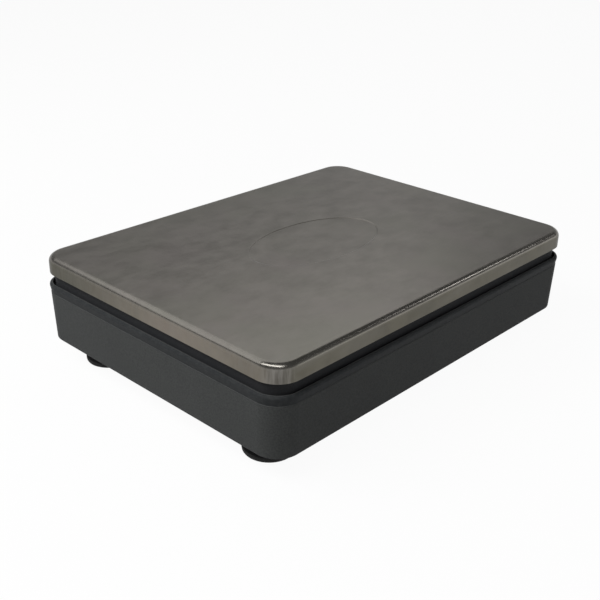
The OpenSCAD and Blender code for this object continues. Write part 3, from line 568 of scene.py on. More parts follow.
def printed_board():
    """Green laminate: woven glass under the mask, traces, and scattered tinned pads."""
    f = Finish("board_laminate", {"Specular IOR Level": 0.45})
    bricks = f.nodes.new("ShaderNodeTexBrick")
    f.feed(bricks, {"Vector": f.place, "Scale": 60.0, "Mortar Size": 0.035, "Mortar Smooth": 0.2})
    tracks = bricks.outputs["Fac"]
    woven = f.noise(1400, 1, 0.5, (1, 0.2, 1))
    crossed = f.noise(1400, 1, 0.5, (0.2, 1, 1))
    weave = f.math("MAXIMUM", woven, crossed)
    pads = f.span(f.cells(220), 0.16, 0.2, 1.0, 0.0)
    mask = f.mix(f.span(weave, 0.45, 0.7), (0.010, 0.075, 0.028), (0.016, 0.110, 0.042))
    traced = f.mix(f.times(tracks, 0.8), mask, (0.035, 0.190, 0.075))
    colour = f.mix(pads, traced, (0.42, 0.40, 0.36))
    rough = f.span(weave, 0.4, 0.7, 0.28, 0.40)
    return f.done(colour, rough, f.bump(tracks, 0.03 * MM, f.bump(weave, 0.01 * MM)))


def level_glass():
    """Clear vial with a yellow-green filling, faint swirls and handling marks."""
    f = Finish("level_glass", {"Transmission Weight": 0.5, "IOR": 1.47})
    swirl = f.span(f.noise(180, 3, 0.6), *MIDDLE)
    marks = f.noise(900, 3, 0.7)
    colour = f.mix(swirl, (0.66, 0.86, 0.24), (0.74, 0.92, 0.34))
    return f.done(colour, f.span(marks, 0.45, 0.75, 0.03, 0.14), f.bump(marks, 0.002 * MM))


FINISHES = {
    "platter_steel": platter_steel(),
    "zinc_steel": plated("zinc_steel", (0.50, 0.51, 0.53), (0.56, 0.55, 0.50), (0.30, 0.30, 0.31),
                         rough=0.34),
    "tinned_sheet": plated("tinned_sheet", (0.56, 0.555, 0.53), (0.62, 0.61, 0.58), (0.38, 0.37, 0.35),
                           rough=0.30, brushed=(0.06, 1, 1)),
    "brass": plated("brass", (0.62, 0.44, 0.19), (0.70, 0.52, 0.26), (0.30, 0.20, 0.09), rough=0.33),
    "cast_aluminium": cast_metal(),
    "cell_aluminium": milled_metal(),
    "foil": wrapped_foil(),
    # Housing: its edge colour, darker than the wall, is painted shade on the whole lip under the platter's
    # overhang
    "housing_plastic": moulded("housing_plastic", (0.0422, 0.0438, 0.0430), (0.0456, 0.0472, 0.0464),
                               (0.019, 0.0204, 0.0217), rough=0.60, grain=1500, depth=0.008 * MM, level=0.04),
    # Deck: its colours are darkened below the housing's as painted shade for the gap under the platter
    "deck_plastic": moulded("deck_plastic", (0.020, 0.0208, 0.0225), (0.0225, 0.023, 0.0247),
                            (0.030, 0.031, 0.033), rough=0.62, grain=1700, depth=0.010 * MM, level=0.06),
    "black_plastic": moulded("black_plastic", (0.010, 0.010, 0.011), (0.014, 0.014, 0.015),
                             (0.05, 0.05, 0.05), rough=0.42, grain=2000, depth=0.012 * MM),
    "ivory_plastic": moulded("ivory_plastic", (0.60, 0.55, 0.42), (0.66, 0.61, 0.48),
                             (0.74, 0.70, 0.60), rough=0.40, grain=1800, depth=0.010 * MM),
    "red_plastic": moulded("red_plastic", (0.36, 0.016, 0.012), (0.42, 0.024, 0.018),
                           (0.55, 0.10, 0.08), rough=0.40, grain=1800, depth=0.010 * MM),
    "cable_sheath": moulded("cable_sheath", (0.10, 0.10, 0.105), (0.13, 0.13, 0.135),
                            (0.20, 0.20, 0.20), rough=0.48, grain=1200, depth=0.02 * MM),
    "board_laminate": printed_board(),
    "rubber": black_rubber(),
    "level_glass": level_glass(),
}
for name, node in NODES.items():
    node.material_slots[0].material = FINISHES[SLOT_OF[name]]


# Platter: a pressed sheet with a shallow oval, a bent edge and an open inside

BEND_R = 5.4 * MM
BEND_STEPS = 10
SHEET_T = 1.5 * MM
SKIRT_EDGE_R = 0.45 * MM
SKIRT_EDGE_STEPS = 4
FLAT_RINGS = (0.0, 0.15, 0.4, 0.7, 1.0)

# Extra rings this far from a bend keep the flat faces flat
SUPPORT = 0.35 * MM

# Oval: half its size, its fall at its edge and in all, and the width of its edge along X and Y
OVAL_X = 72 * MM
OVAL_Y = 41 * MM
OVAL_EDGE_DROP = 0.42 * MM
OVAL_DEPTH = 0.6 * MM
OVAL_SLOPE = (2 * MM, 1.2 * MM)
OVAL_SLOPE_UNDER = (OVAL_DEPTH, OVAL_DEPTH)
OVAL_STEPS = 10

# Shares of the oval between which it falls like a dish
DISH_START = 0.35
DISH_END = 0.95
DISH_STEPS = 8


def eased(share):
    """Share of a rise that starts and ends level."""
    return (1 - math.cos(math.pi * share)) / 2


def oval_ring(share, z, inset=(0.0, 0.0)):
    """Ring at a share of the oval's size, less an inset, matched point by point to a rounded ring."""
    count = 4 * (ARC_STEPS + SIDE_STEPS)
    start = math.pi / 4 - math.pi * ARC_STEPS / count
    turns = [start + 2 * math.pi * k / count for k in range(count)]
    half_x = share * OVAL_X - inset[0]
    half_y = share * OVAL_Y - inset[1]
    return [Vector((half_x * math.cos(t), half_y * math.sin(t), z)) for t in turns]


def platter_face(z, slope, reach):
    """Rings of one face of the sheet, from the middle of the oval to the start of the bend."""
    low = z - OVAL_DEPTH
    edge = z - OVAL_EDGE_DROP
    rings = [[Vector((0, 0, low))]]
    for k in range(DISH_STEPS + 1):
        share = k / DISH_STEPS
        reached = DISH_START + (DISH_END - DISH_START) * share
        rings.append(oval_ring(reached, low + (edge - low) * eased(share)))
    for k in range(OVAL_STEPS + 1):
        share = k / OVAL_STEPS
        inset = [width * (1 - share) for width in slope]
        rings.append(oval_ring(1, edge + OVAL_EDGE_DROP * eased(share), inset))
    inner = oval_ring(1 + 2 * SUPPORT / OVAL_X, z)
    outer = rounded_ring(reach - BEND_R - SUPPORT, z)
    for share in FLAT_RINGS:
        rings.append([a.lerp(b, share) for a, b in zip(inner, outer)])
    return rings


def platter_bend(reach, radius):
    """Rings of the bend on one side of the sheet, from its top down, each with its wear."""
    rows = []
    z = PLATTER_HIGH.z - BEND_R
    for k in range(BEND_STEPS + 1):
        angle = QUARTER * k / BEND_STEPS
        ring = rounded_ring(reach - BEND_R + radius * math.sin(angle), z + radius * math.cos(angle))
        rows.append((ring, math.sin(2 * angle)))
    return rows


def platter_sheet():
    low, high = PLATTER_LOW, PLATTER_HIGH
    reach = high.x - ARC_X
    inside = reach - SHEET_T
    z_bend = high.z - BEND_R
    rows = [(ring, 0.0) for ring in platter_face(high.z, OVAL_SLOPE, reach)]
    rows += platter_bend(reach, BEND_R)
    rows.append((rounded_ring(reach, z_bend - SUPPORT), 0.0))
    skirt = [(reach, z_bend, 0), (reach, low.z, SKIRT_EDGE_R)]
    skirt += [(inside, low.z, SKIRT_EDGE_R), (inside, z_bend, 0)]
    rounded = fillet(skirt, SKIRT_EDGE_STEPS, closed=False)[1:-1]
    rows += [(rounded_ring(x, z), abs(wear)) for x, z, wear in rounded]
    rows.append((rounded_ring(inside, z_bend - SUPPORT), 0.0))
    rows += [(ring, 0.0) for ring, _ in reversed(platter_bend(reach, BEND_R - SHEET_T))]
    rows += [(ring, 0.0) for ring in reversed(platter_face(high.z - SHEET_T, OVAL_SLOPE_UNDER, reach))]
    mesh = bmesh.new()
    loft(mesh, [ring for ring, _ in rows], [wear for _, wear in rows])
    piece("platter_sheet", mesh, "platter")


platter_sheet()


# Housing: drafted wall with a lip, a ledge for the deck, screw bosses and the socket recess

HOUSING_LOW, HOUSING_HIGH = (tidied(corner.z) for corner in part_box("housing"))
HOUSING_CREASE = 30
HOUSING_STEPS = 6

# Reach of the wall, the lip and the rim out from the corner centres, and the heights where they meet
WALL_T = 3 * MM
WALL_FOOT = 19.9 * MM
WALL_TOP = 21.52 * MM
WALL_HIGH = 64.8 * MM
LIP_FOOT = 21.15 * MM
LIP_LOW = 65.4 * MM
LIP_INSIDE = 20.5 * MM
RIM_OUTSIDE = 22.66 * MM
RIM_INSIDE = 19.2 * MM
RIM_R = 2.5 * MM
FOOT_R = 1.2 * MM
FOOT_INSIDE_R = 0.4 * MM
CREASE_R = 0.5 * MM

# Ledge under the deck, and the reach of the wall's inside above and below it
LEDGE_INSIDE = 6 * MM
LEDGE_LOW = 63 * MM
LEDGE_HIGH = 66 * MM
LEDGE_R = 0.4 * MM
INSIDE_ABOVE = 18.89 * MM
INSIDE_BELOW = 18.76 * MM
INSIDE_R = 0.8 * MM
LEDGE_HOLE_R = 2.3 * MM
LEDGE_HOLE_OVER = 1 * MM

HOUSING_OUTLINE = (
    (WALL_FOOT - WALL_T, HOUSING_LOW, FOOT_INSIDE_R), (WALL_FOOT, HOUSING_LOW, FOOT_R),
    (WALL_TOP, WALL_HIGH, CREASE_R), (LIP_FOOT, LIP_LOW, CREASE_R),
    (RIM_OUTSIDE, HOUSING_HIGH, RIM_R), (RIM_INSIDE, HOUSING_HIGH, CREASE_R),
    (INSIDE_ABOVE, LEDGE_HIGH, CREASE_R), (LEDGE_INSIDE, LEDGE_HIGH, LEDGE_R),
    (LEDGE_INSIDE, LEDGE_LOW, LEDGE_R), (INSIDE_BELOW, LEDGE_LOW, INSIDE_R),
)

# Screw bosses under the ledge, with a web to the wall
BOSS_R = 5 * MM
BOSS_LOW = 27 * MM
BOSS_HIGH = 64.5 * MM
BOSS_REACH = 11.3 * MM
WEB_HALF = 2 * MM
WEB_END = 18.9 * MM
SCREW_X = 120 * MM
SCREW_R = 2.05 * MM
SCREW_DEPTH = 20 * MM

# Recess of the socket: its frame inside the wall, and the cut through both
RECESS_HALF = 30 * MM
RECESS_LOW = 31 * MM
RECESS_HIGH = 55 * MM
RECESS_RIM = 2.5 * MM
RECESS_FRONT = 129.4 * MM
RECESS_BACK = 139.9 * MM
CUT_FRONT = 117.4 * MM
CUT_BACK = 165.4 * MM


def boss(solids, holes, place, wall):
    """Screw boss with its web to a place on the wall, and the hole for its screw."""
    pillar(solids, place, BOSS_R, BOSS_LOW, BOSS_HIGH)
    pillar(holes, place, SCREW_R, BOSS_LOW - SCREW_R, BOSS_LOW + SCREW_DEPTH)
    low = [min(a, b) - (WEB_HALF if a == b else 0) for a, b in zip(place, wall)]
    high = [max(a, b) + (WEB_HALF if a == b else 0) for a, b in zip(place, wall)]
    block(solids, (*low, BOSS_LOW), (*high, BOSS_HIGH))


def housing_shell():
    outline = fillet(HOUSING_OUTLINE, HOUSING_STEPS)
    # The whole lip takes the full edge value, which paints it in the housing's darker edge colour as shade
    wear = [1.0 if x > LIP_INSIDE and z > LIP_LOW else max(0.0, w) for x, z, w in outline]
    shell = bmesh.new()
    loft(shell, [rounded_ring(x, z, 1) for x, z, _ in outline], wear, closed=True)
    solids = bmesh.new()
    holes = bmesh.new()
    for sx in (-1, 1):
        for sy in (-1, 1):
            x = sx * SCREW_X
            boss(solids, holes, (x, sy * (ARC_Y + BOSS_REACH)), (x, sy * (ARC_Y + WEB_END)))
        boss(solids, holes, (sx * (ARC_X + BOSS_REACH), 0.0), (sx * (ARC_X + WEB_END), 0.0))
    for low, high in solids_of("deck_screws"):
        pillar(holes, plan_middle(low, high), LEDGE_HOLE_R, LEDGE_LOW - LEDGE_HOLE_OVER,
               LEDGE_HIGH + LEDGE_HOLE_OVER)
    rim_half = RECESS_HALF + RECESS_RIM
    block(solids, (-rim_half, RECESS_FRONT, RECESS_LOW - RECESS_RIM),
          (rim_half, RECESS_BACK, RECESS_HIGH + RECESS_RIM))
    whole = combine(shell, solids, "UNION")
    block(holes, (-RECESS_HALF, CUT_FRONT, RECESS_LOW), (RECESS_HALF, CUT_BACK, RECESS_HIGH))
    whole = combine(whole, holes, "DIFFERENCE")
    piece("housing_shell", whole, "housing", HOUSING_CREASE)


housing_shell()


# Fasteners: drive recess, head and a cut thread, set where the CAD solids are

RING_STEPS = 48
SCREW_CREASE = 30
HEX_CREASE = 25

# Hexagons: chamfer, the flat face as a share of the corners, and the edge left under the chamfer
HEX_STEP = math.pi / 3
CHAMFER = math.tan(math.radians(30))
HEX_FACE = 0.9
HEX_LAND = 0.05 * MM
BORE_CHAMFER = 0.5 * MM

# Cross recess: half the width of an arm as a share of its length, and the angle taken as its middle line
ARM_WIDTH = 0.3
ARM_END = 0.01

# Threads: rings to a pitch and at least, steepness of the flanks, and depth and end chamfer in pitches
THREAD_RINGS = 6
THREAD_FEWEST = 4
THREAD_FLANK = 1.5
THREAD_DEPTH = 0.55
THREAD_CHAMFER = 0.7

# Drive recess: depth and size shares of its floor, its mouth's size share, and the depth of the mouth
DRIVE_FLOOR = 0.85
DRIVE_FLOOR_SIZE = 0.6
DRIVE_MOUTH_SIZE = 1.08
DRIVE_MOUTH = 0.1 * MM

# Heads as (share of the radius, depth in mm). A share of nought only says where the thread starts.
PAN_HEAD = ((0.6, 0.0), (0.85, 0.25), (0.98, 0.8), (1.0, 1.2), (1.0, 2.0))
PAN_HEAD_TALL = ((0.6, 0.0), (0.86, 0.3), (0.98, 1.0), (1.0, 1.6), (1.0, 3.0))
CAP_HEAD = ((0.9, 0.0), (0.98, 0.2), (1.0, 0.6), (1.0, 5.7), (0.97, 6.0))
FLUSH_HEAD_4 = ((0.97, 0.0), (1.0, 0.15), (0.0, 2.0))
FLUSH_HEAD_3 = ((0.97, 0.0), (1.0, 0.12), (0.0, 1.3))

# Threads as (radius, pitch)
THREAD_3 = (1.5 * MM, 0.5 * MM)
THREAD_4 = (2.0 * MM, 0.7 * MM)
THREAD_6 = (3.0 * MM, 1.0 * MM)


def hex_radius(angle, corner):
    """Radius of a hexagon at an angle, with a corner on +X."""
    return corner * math.cos(HEX_STEP / 2) / math.cos(angle % HEX_STEP - HEX_STEP / 2)


def cross_radius(angle, arm):
    """Radius of a cross recess at an angle."""
    off = abs((angle + QUARTER / 2) % QUARTER - QUARTER / 2)
    if off < ARM_END:
        return arm
    return min(arm / math.cos(off), ARM_WIDTH * arm / math.sin(off))


# Drives as (outline, size, depth)
CROSS_3 = (cross_radius, 1.5 * MM, 1.1 * MM)
CROSS_4 = (cross_radius, 2.2 * MM, 1.6 * MM)
SOCKET_6 = (hex_radius, 2.9 * MM, 3.0 * MM)


def round_ring(place, z, radius):
    """Ring of a turned part."""
    return circle_ring(place, z, radius, RING_STEPS)


def hex_rings(place, low, high, corner):
    """Rings of a hexagon chamfered at both ends, from its low face to its high one."""
    face = HEX_FACE * corner
    rings = []
    for z, way in ((low, UP), (high, DOWN)):
        flat = star_ring(place, z, lambda angle: min(hex_radius(angle, corner), face), RING_STEPS)
        side = star_ring(place, z, lambda angle: hex_radius(angle, corner), RING_STEPS)
        for k, point in enumerate(side):
            radius = hex_radius(2 * math.pi * k / RING_STEPS, corner)
            point.z = z + way * (max(0.0, radius - face) * CHAMFER + HEX_LAND)
        rings += [flat, side] if way == UP else [side, flat]
    return rings


def thread_rings(place, start, end, thread):
    """Rings of a right-hand thread from one height to another, chamfered at its far end."""
    radius, pitch = thread
    count = max(THREAD_FEWEST, int(abs(end - start) / pitch * THREAD_RINGS))
    rings = []
    for j in range(count + 1):
        z = start + (end - start) * j / count
        begun = min(1.0, j / THREAD_RINGS)
        widest = radius - THREAD_CHAMFER * pitch + abs(end - z)

        def radius_at(angle):
            phase = (z / pitch - angle / (2 * math.pi)) % 1.0
            crest = min(1.0, abs(2 * phase - 1) * THREAD_FLANK)
            return min(radius - THREAD_DEPTH * pitch * (1 - crest) * begun, widest)

        rings.append(star_ring(place, z, radius_at, RING_STEPS))
    rings.append([Vector((*place, end))])
    return rings


def fasteners(node, way, head, drive, thread):
    """Screws of one kind. way is where the shank points."""
    mesh = bmesh.new()
    outline, size, depth = drive
    floor = (DRIVE_FLOOR * depth, DRIVE_FLOOR_SIZE * size)
    for low, high in solids_of(node):
        place = plan_middle(low, high)
        face, end = (low.z, high.z) if way == UP else (high.z, low.z)
        head_r = (high.x - low.x) / 2
        rings = [[Vector((*place, face + way * depth))]]
        for deep, wide in (floor, (DRIVE_MOUTH, size), (0.0, DRIVE_MOUTH_SIZE * size)):
            rings.append(star_ring(place, face + way * deep, lambda angle: outline(angle, wide), RING_STEPS))
        rings += [round_ring(place, face + way * s * MM, share * head_r) for share, s in head if share]
        rings += thread_rings(place, face + way * head[-1][1] * MM, end, thread)
        loft(mesh, rings)
    piece(node + "_cut", mesh, node, SCREW_CREASE)


for node in ("level_screws", "board_screws", "clip_screw", "plate_screws"):
    fasteners(node, DOWN, PAN_HEAD, CROSS_3, THREAD_3)
fasteners("deck_screws", UP, PAN_HEAD_TALL, CROSS_4, THREAD_4)
fasteners("housing_screws", UP, FLUSH_HEAD_4, CROSS_4, THREAD_4)
fasteners("seal_screws", UP, FLUSH_HEAD_3, CROSS_3, THREAD_3)
fasteners("spider_bolts", DOWN, CAP_HEAD, SOCKET_6, THREAD_6)
fasteners("load_cell_bolts", UP, CAP_HEAD, SOCKET_6, THREAD_6)


def locknuts(node, bore):
    """Chamfered hexagon nuts."""
    mesh = bmesh.new()
    for low, high in solids_of(node):
        place = plan_middle(low, high)
        mouth = bore + BORE_CHAMFER
        rings = [round_ring(place, low.z + BORE_CHAMFER, bore), round_ring(place, low.z, mouth)]
        rings += hex_rings(place, low.z, high.z, (high.x - low.x) / 2)
        rings += [round_ring(place, high.z, mouth), round_ring(place, high.z - BORE_CHAMFER, bore)]
        loft(mesh, rings, closed=True)
    piece(node + "_cut", mesh, node, HEX_CREASE)


FOOT_NUT_BORE = 4.05 * MM
STOP_NUT_BORE = 3.05 * MM
STOP_HEAD = 4 * MM

locknuts("foot_locknuts", FOOT_NUT_BORE)
locknuts("stop_locknuts", STOP_NUT_BORE)


def stop_screws():
    """Overload stops: hexagon screws standing head up in their posts."""
    mesh = bmesh.new()
    for low, high in solids_of("stop_screws"):
        place = plan_middle(low, high)
        under = high.z - STOP_HEAD
        rings = [[Vector((*place, high.z))]]
        rings += reversed(hex_rings(place, under, high.z, (high.x - low.x) / 2))
        rings += thread_rings(place, under, low.z, THREAD_6)
        loft(mesh, rings)
    piece("stop_screws_cut", mesh, "stop_screws", HEX_CREASE)


stop_screws()


# Feet: grooved rubber pads, and studs with a flange, a wrench hexagon and a thread

PAD_STEPS = 96
PAD_FILLET_STEPS = 4

# Sole: a hollow in the middle and two ring grooves
HOLLOW_R = 6.6 * MM
HOLLOW_DEPTH = 0.7 * MM
HOLLOW_EDGE = 7.2 * MM
HOLLOW_EDGE_R = 0.2 * MM
GROOVES = (10.4 * MM, 15.0 * MM)
GROOVE_WIDTH = 2.0 * MM
GROOVE_SLOPE = 0.4 * MM
GROOVE_DEPTH = 0.8 * MM
SOLE_R = 0.3 * MM
GROOVE_R = 0.25 * MM

# Pad above the sole, with the socket that holds the stud's flange
PAD_EDGE_R = 3 * MM
PAD_SIDE = 5 * MM
PAD_TOP_R = 13 * MM
PAD_TOP = 9 * MM
PAD_CORNER_R = 0.8 * MM
MOUTH_R = 5.3 * MM
MOUTH_EDGE_R = 0.4 * MM
SOCKET_R = 8 * MM
SOCKET_LOW = 4 * MM
SOCKET_HIGH = 6.7 * MM

# Stud: its flange and its hexagon stay this far above the rubber under them
RUBBER_GAP = 0.03 * MM
FLANGE_LOW = SOCKET_LOW + RUBBER_GAP
FLANGE_HIGH = 6.4 * MM
FLANGE_R = 7.7 * MM
FLANGE_BREAK = 0.3 * MM
FLANGE_FOOT_BREAK = 0.4 * MM
NECK_R = 5.0 * MM
HEX_LOW = PAD_TOP + RUBBER_GAP
HEX_HIGH = 12 * MM
HEX_CORNER = 7.75 * MM
STUD_THREAD = (4 * MM, 1.25 * MM)
FLANGE = (
    (FLANGE_R - FLANGE_FOOT_BREAK, FLANGE_LOW), (FLANGE_R, SOCKET_LOW + FLANGE_BREAK),
    (FLANGE_R, FLANGE_HIGH - FLANGE_BREAK), (FLANGE_R - FLANGE_BREAK, FLANGE_HIGH),
    (NECK_R, FLANGE_HIGH), (NECK_R, HEX_LOW),
)


def pad_corners(radius):
    """Outline of a pad as (radius, z, fillet), from the middle of its sole to the floor of its socket."""
    corners = [(0, HOLLOW_DEPTH, 0), (HOLLOW_R, HOLLOW_DEPTH, HOLLOW_EDGE_R), (HOLLOW_EDGE, 0, SOLE_R)]
    for start in GROOVES:
        end = start + GROOVE_WIDTH
        corners += [(start, 0, SOLE_R), (start + GROOVE_SLOPE, GROOVE_DEPTH, GROOVE_R)]
        corners += [(end - GROOVE_SLOPE, GROOVE_DEPTH, GROOVE_R), (end, 0, SOLE_R)]
    corners += [(radius, 0, PAD_EDGE_R), (radius, PAD_SIDE, PAD_CORNER_R), (PAD_TOP_R, PAD_TOP, PAD_CORNER_R)]
    corners += [(MOUTH_R, PAD_TOP, MOUTH_EDGE_R), (MOUTH_R, SOCKET_HIGH, SOLE_R)]
    corners += [(SOCKET_R, SOCKET_HIGH, SOLE_R), (SOCKET_R, SOCKET_LOW, SOLE_R), (0, SOCKET_LOW, 0)]
    return corners


def foot(where):
    low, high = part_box("foot_pad_" + where)
    place = plan_middle(low, high)
    corners = pad_corners(tidied((high.x - low.x) / 2))
    outline = [(r, z, max(0.0, w)) for r, z, w in fillet(corners, PAD_FILLET_STEPS, closed=False)]
    mesh = bmesh.new()
    lathe(mesh, place, outline, PAD_STEPS, closed=False)
    piece("foot_rubber_" + where, mesh, "foot_pad_" + where)
    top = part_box("foot_stud_" + where)[1].z
    rings = [[Vector((*place, FLANGE_LOW))]]
    rings += [round_ring(place, z, r) for r, z in FLANGE]
    rings += hex_rings(place, HEX_LOW, HEX_HIGH, HEX_CORNER)
    rings += thread_rings(place, HEX_HIGH, top, STUD_THREAD)
    mesh = bmesh.new()
    loft(mesh, rings)
    piece("foot_thread_" + where, mesh, "foot_stud_" + where, HEX_CREASE)


for where in ("front_left", "front_right", "rear_left", "rear_right"):
    foot(where)


# Bubble level: a filled vial with its bubble under the dome, and a marking ring on top

VIAL_STEPS = 72
VIAL_FILLET_STEPS = 5
VIAL_FOOT_R = 0.5 * MM
VIAL_EDGE_R = 0.6 * MM
VIAL_SHOULDER = 1 * MM
DOME_H = 0.15 * MM
BUBBLE_R = 3.2 * MM
BUBBLE_H = 1.6 * MM
BUBBLE_DROP = 1.9 * MM
BUBBLE_RINGS = 12
BUBBLE_STEPS = 48
MARK_R = 4.2 * MM
MARK_W = 0.35 * MM
MARK_H = 0.12 * MM
MARK_EDGE_R = 0.05 * MM
MARK_FILLET_STEPS = 3


def bubble_outline(top):
    """Outline of the flat round bubble, from its top down."""
    outline = []
    for k in range(BUBBLE_RINGS + 1):
        angle = math.pi * k / BUBBLE_RINGS
        radius = BUBBLE_R * math.sin(angle) if 0 < k < BUBBLE_RINGS else 0
        outline.append((radius, top - BUBBLE_H * (1 - math.cos(angle)) / 2, 0))
    return outline


def bubble_level():
    low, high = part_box("level_vial")
    place = plan_middle(low, high)
    radius = (high.x - low.x) / 2
    dome = high.z - DOME_H
    corners = [(0, low.z, 0), (radius, low.z, VIAL_FOOT_R), (radius, high.z - VIAL_SHOULDER, VIAL_EDGE_R),
               (radius - VIAL_SHOULDER, dome, VIAL_EDGE_R), (0, high.z, 0)]
    vial = bmesh.new()
    lathe(vial, place, fillet(corners, VIAL_FILLET_STEPS, closed=False), VIAL_STEPS, closed=False)
    lathe(vial, place, bubble_outline(high.z - BUBBLE_DROP), BUBBLE_STEPS, closed=False)
    piece("level_vial_filled", vial, "level_vial")
    outer = MARK_R + MARK_W
    corners = [(MARK_R, dome - MARK_H, 0), (outer, dome - MARK_H, 0), (outer, dome + MARK_H, MARK_EDGE_R),
               (MARK_R, dome + MARK_H, MARK_EDGE_R)]
    ring = bmesh.new()
    lathe(ring, place, fillet(corners, MARK_FILLET_STEPS), VIAL_STEPS)
    loose("level_mark", ring, "base", "black_plastic")


bubble_level()


# CAD solids that only need their edges broken, with the width of the break in millimetres

BROKEN_EDGES = {
    "deck_cover": 0.4, "chassis": 0.5, "spider": 0.8, "upper_spacer": 0.4, "lower_spacer": 0.4,
    "load_cell": 0.5, "platter_pads": 0.5, "platter_pins": 0.3, "level_holder": 0.4,
    "connector_plate": 0.2, "data_socket": 0.12, "calibration_cover": 0.15, "cable_clip": 0.2,
    "shield_can": 0.12, "board_chips": 0.15, "cable_header": 0.2, "cable_plug": 0.2,
    "calibration_jumper": 0.25, "gauge_covers": 0.12, "foot_inserts": 0.3, "jackscrews": 0.2,
}
for name, bevel in BROKEN_EDGES.items():
    piece(name + "_dressed", dressed(name, bevel * MM), name)


# Studio: pale floor, white backdrop that darkens upwards, soft lamps

FLOOR_SIZE = 6.0
FLOOR_DROP = 0.02 * MM
FLOOR_COLOUR = (0.55, 0.55, 0.55, 1.0)
WHITE = (1.0, 1.0, 1.0, 1.0)
WHITE_SHARE = 0.95
WORLD_LIGHT = 0.14
LOOK_AT = Vector((0, 0, 0.06))

# Brightness of the surroundings by the Z of a direction, as (from Z, to Z, from strength, to strength).
# Where both say something, the greater counts.
BACKDROP = (0.225, 0.285, 1.0, 0.0)
UPPER_WALLS = (0.32, 0.68, 0.33, 0.16)


def seen_directly(nodes, links):
    """1 for rays that show the background: from the camera, in reflections and through glass."""
    path = nodes.new("ShaderNodeLightPath")
    total = path.outputs["Is Camera Ray"]
    for ray in ("Is Glossy Ray", "Is Transmission Ray"):
        join = nodes.new("ShaderNodeMath")
        join.operation = "MAXIMUM"
        links.new(total, join.inputs[0])
        links.new(path.outputs[ray], join.inputs[1])
        total = join.outputs["Value"]
    return total


def make_floor():
    mesh = bpy.data.meshes.new("floor")
    half = FLOOR_SIZE / 2
    corners = [(x * half, y * half, -FLOOR_DROP) for x, y in CORNERS]
    mesh.from_pydata(corners, [], [(0, 1, 2, 3)])
    floor = bpy.data.objects.new("floor", mesh)
    bpy.context.scene.collection.objects.link(floor)
    material = bpy.data.materials.new("floor")
    material.use_nodes = True
    nodes = material.node_tree.nodes
    links = material.node_tree.links
    nodes.remove(nodes["Principled BSDF"])
    matt = nodes.new("ShaderNodeBsdfDiffuse")
    matt.inputs["Color"].default_value = FLOOR_COLOUR
    white = nodes.new("ShaderNodeEmission")
    mix = nodes.new("ShaderNodeMixShader")
    share = nodes.new("ShaderNodeMath")
    share.operation = "MULTIPLY"
    share.inputs[1].default_value = WHITE_SHARE
    links.new(seen_directly(nodes, links), share.inputs[0])
    links.new(share.outputs["Value"], mix.inputs["Fac"])
    links.new(matt.outputs["BSDF"], mix.inputs[1])
    links.new(white.outputs["Emission"], mix.inputs[2])
    links.new(mix.outputs["Shader"], nodes["Material Output"].inputs["Surface"])
    mesh.materials.append(material)


def make_world():
    world = bpy.data.worlds.new("studio")
    bpy.context.scene.world = world
    world.use_nodes = True
    nodes = world.node_tree.nodes
    links = world.node_tree.links
    soft = nodes["Background"]
    soft.inputs["Strength"].default_value = WORLD_LIGHT
    shown = nodes.new("ShaderNodeBackground")
    for background in (soft, shown):
        background.inputs["Color"].default_value = WHITE
    split = nodes.new("ShaderNodeSeparateXYZ")
    links.new(nodes.new("ShaderNodeTexCoord").outputs["Generated"], split.inputs["Vector"])
    strength = nodes.new("ShaderNodeMath")
    strength.operation = "MAXIMUM"
    for i, limits in enumerate((BACKDROP, UPPER_WALLS)):
        height = nodes.new("ShaderNodeMapRange")
        height.interpolation_type = "SMOOTHSTEP"
        for socket, value in zip(("From Min", "From Max", "To Min", "To Max"), limits):
            height.inputs[socket].default_value = value
        links.new(split.outputs["Z"], height.inputs["Value"])
        links.new(height.outputs["Result"], strength.inputs[i])
    links.new(strength.outputs["Value"], shown.inputs["Strength"])
    mix = nodes.new("ShaderNodeMixShader")
    links.new(seen_directly(nodes, links), mix.inputs["Fac"])
    links.new(soft.outputs["Background"], mix.inputs[1])
    links.new(shown.outputs["Background"], mix.inputs[2])
    links.new(mix.outputs["Shader"], nodes["World Output"].inputs["Surface"])


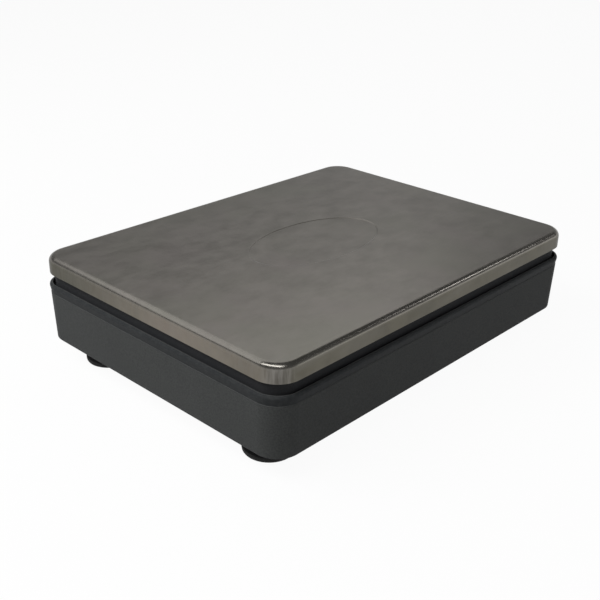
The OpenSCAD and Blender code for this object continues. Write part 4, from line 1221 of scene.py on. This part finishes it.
def softbox(name, azimuth, elevation, distance, size, power, mirrored=True):
    """Area lamp that looks at the object from an azimuth and elevation in degrees."""
    data = bpy.data.lights.new(name, "AREA")
    data.shape = "RECTANGLE"
    data.size, data.size_y = size
    data.energy = power
    lamp = bpy.data.objects.new(name, data)
    bpy.context.scene.collection.objects.link(lamp)
    a = math.radians(azimuth)
    e = math.radians(elevation)
    way = Vector((math.cos(a) * math.cos(e), math.sin(a) * math.cos(e), math.sin(e)))
    lamp.location = LOOK_AT + way * distance
    lamp.rotation_euler = way.to_track_quat("Z", "Y").to_euler()
    lamp.visible_glossy = mirrored


make_floor()
make_world()
softbox("left", 158, 46, 1.5, (1.4, 0.5), power=22, mirrored=False)
softbox("front_right", -66, 12, 1.5, (1.2, 0.4), power=2.7, mirrored=False)
softbox("back_left", 85, 50, 1.6, (3.4, 0.86), power=11.2)
softbox("front_top", 198, 58, 1.4, (1.5, 0.36), power=10)
softbox("right", -27.5, 33, 1.4, (0.14, 0.14), power=0.4)
softbox("right_low", -44, 9, 1.5, (1.0, 0.3), power=0.55)


# Camera at the photograph's angle

CAMERA_PLACE = Vector((-0.56733, -0.51513, 0.39937))
CAMERA_YAW = math.radians(-46.83)
CAMERA_PITCH = math.radians(25.23)
CAMERA_ROLL = math.radians(1.04)
CAMERA_LENS = 55.8
CAMERA_SENSOR = 36.0


def make_camera():
    data = bpy.data.cameras.new("camera")
    data.sensor_width = CAMERA_SENSOR
    data.lens = CAMERA_LENS
    camera = bpy.data.objects.new("camera", data)
    bpy.context.scene.collection.objects.link(camera)
    back = Vector((math.sin(CAMERA_YAW) * math.cos(CAMERA_PITCH),
                   -math.cos(CAMERA_YAW) * math.cos(CAMERA_PITCH), math.sin(CAMERA_PITCH)))
    across = Vector((0, 0, 1)).cross(back).normalized()
    upright = back.cross(across)
    right = across * math.cos(CAMERA_ROLL) + upright * math.sin(CAMERA_ROLL)
    up = upright * math.cos(CAMERA_ROLL) - across * math.sin(CAMERA_ROLL)
    turn = Matrix((right, up, back)).transposed()
    camera.matrix_world = Matrix.Translation(CAMERA_PLACE) @ turn.to_4x4()
    bpy.context.scene.camera = camera


make_camera()
bpy.context.scene.view_settings.view_transform = "Standard"
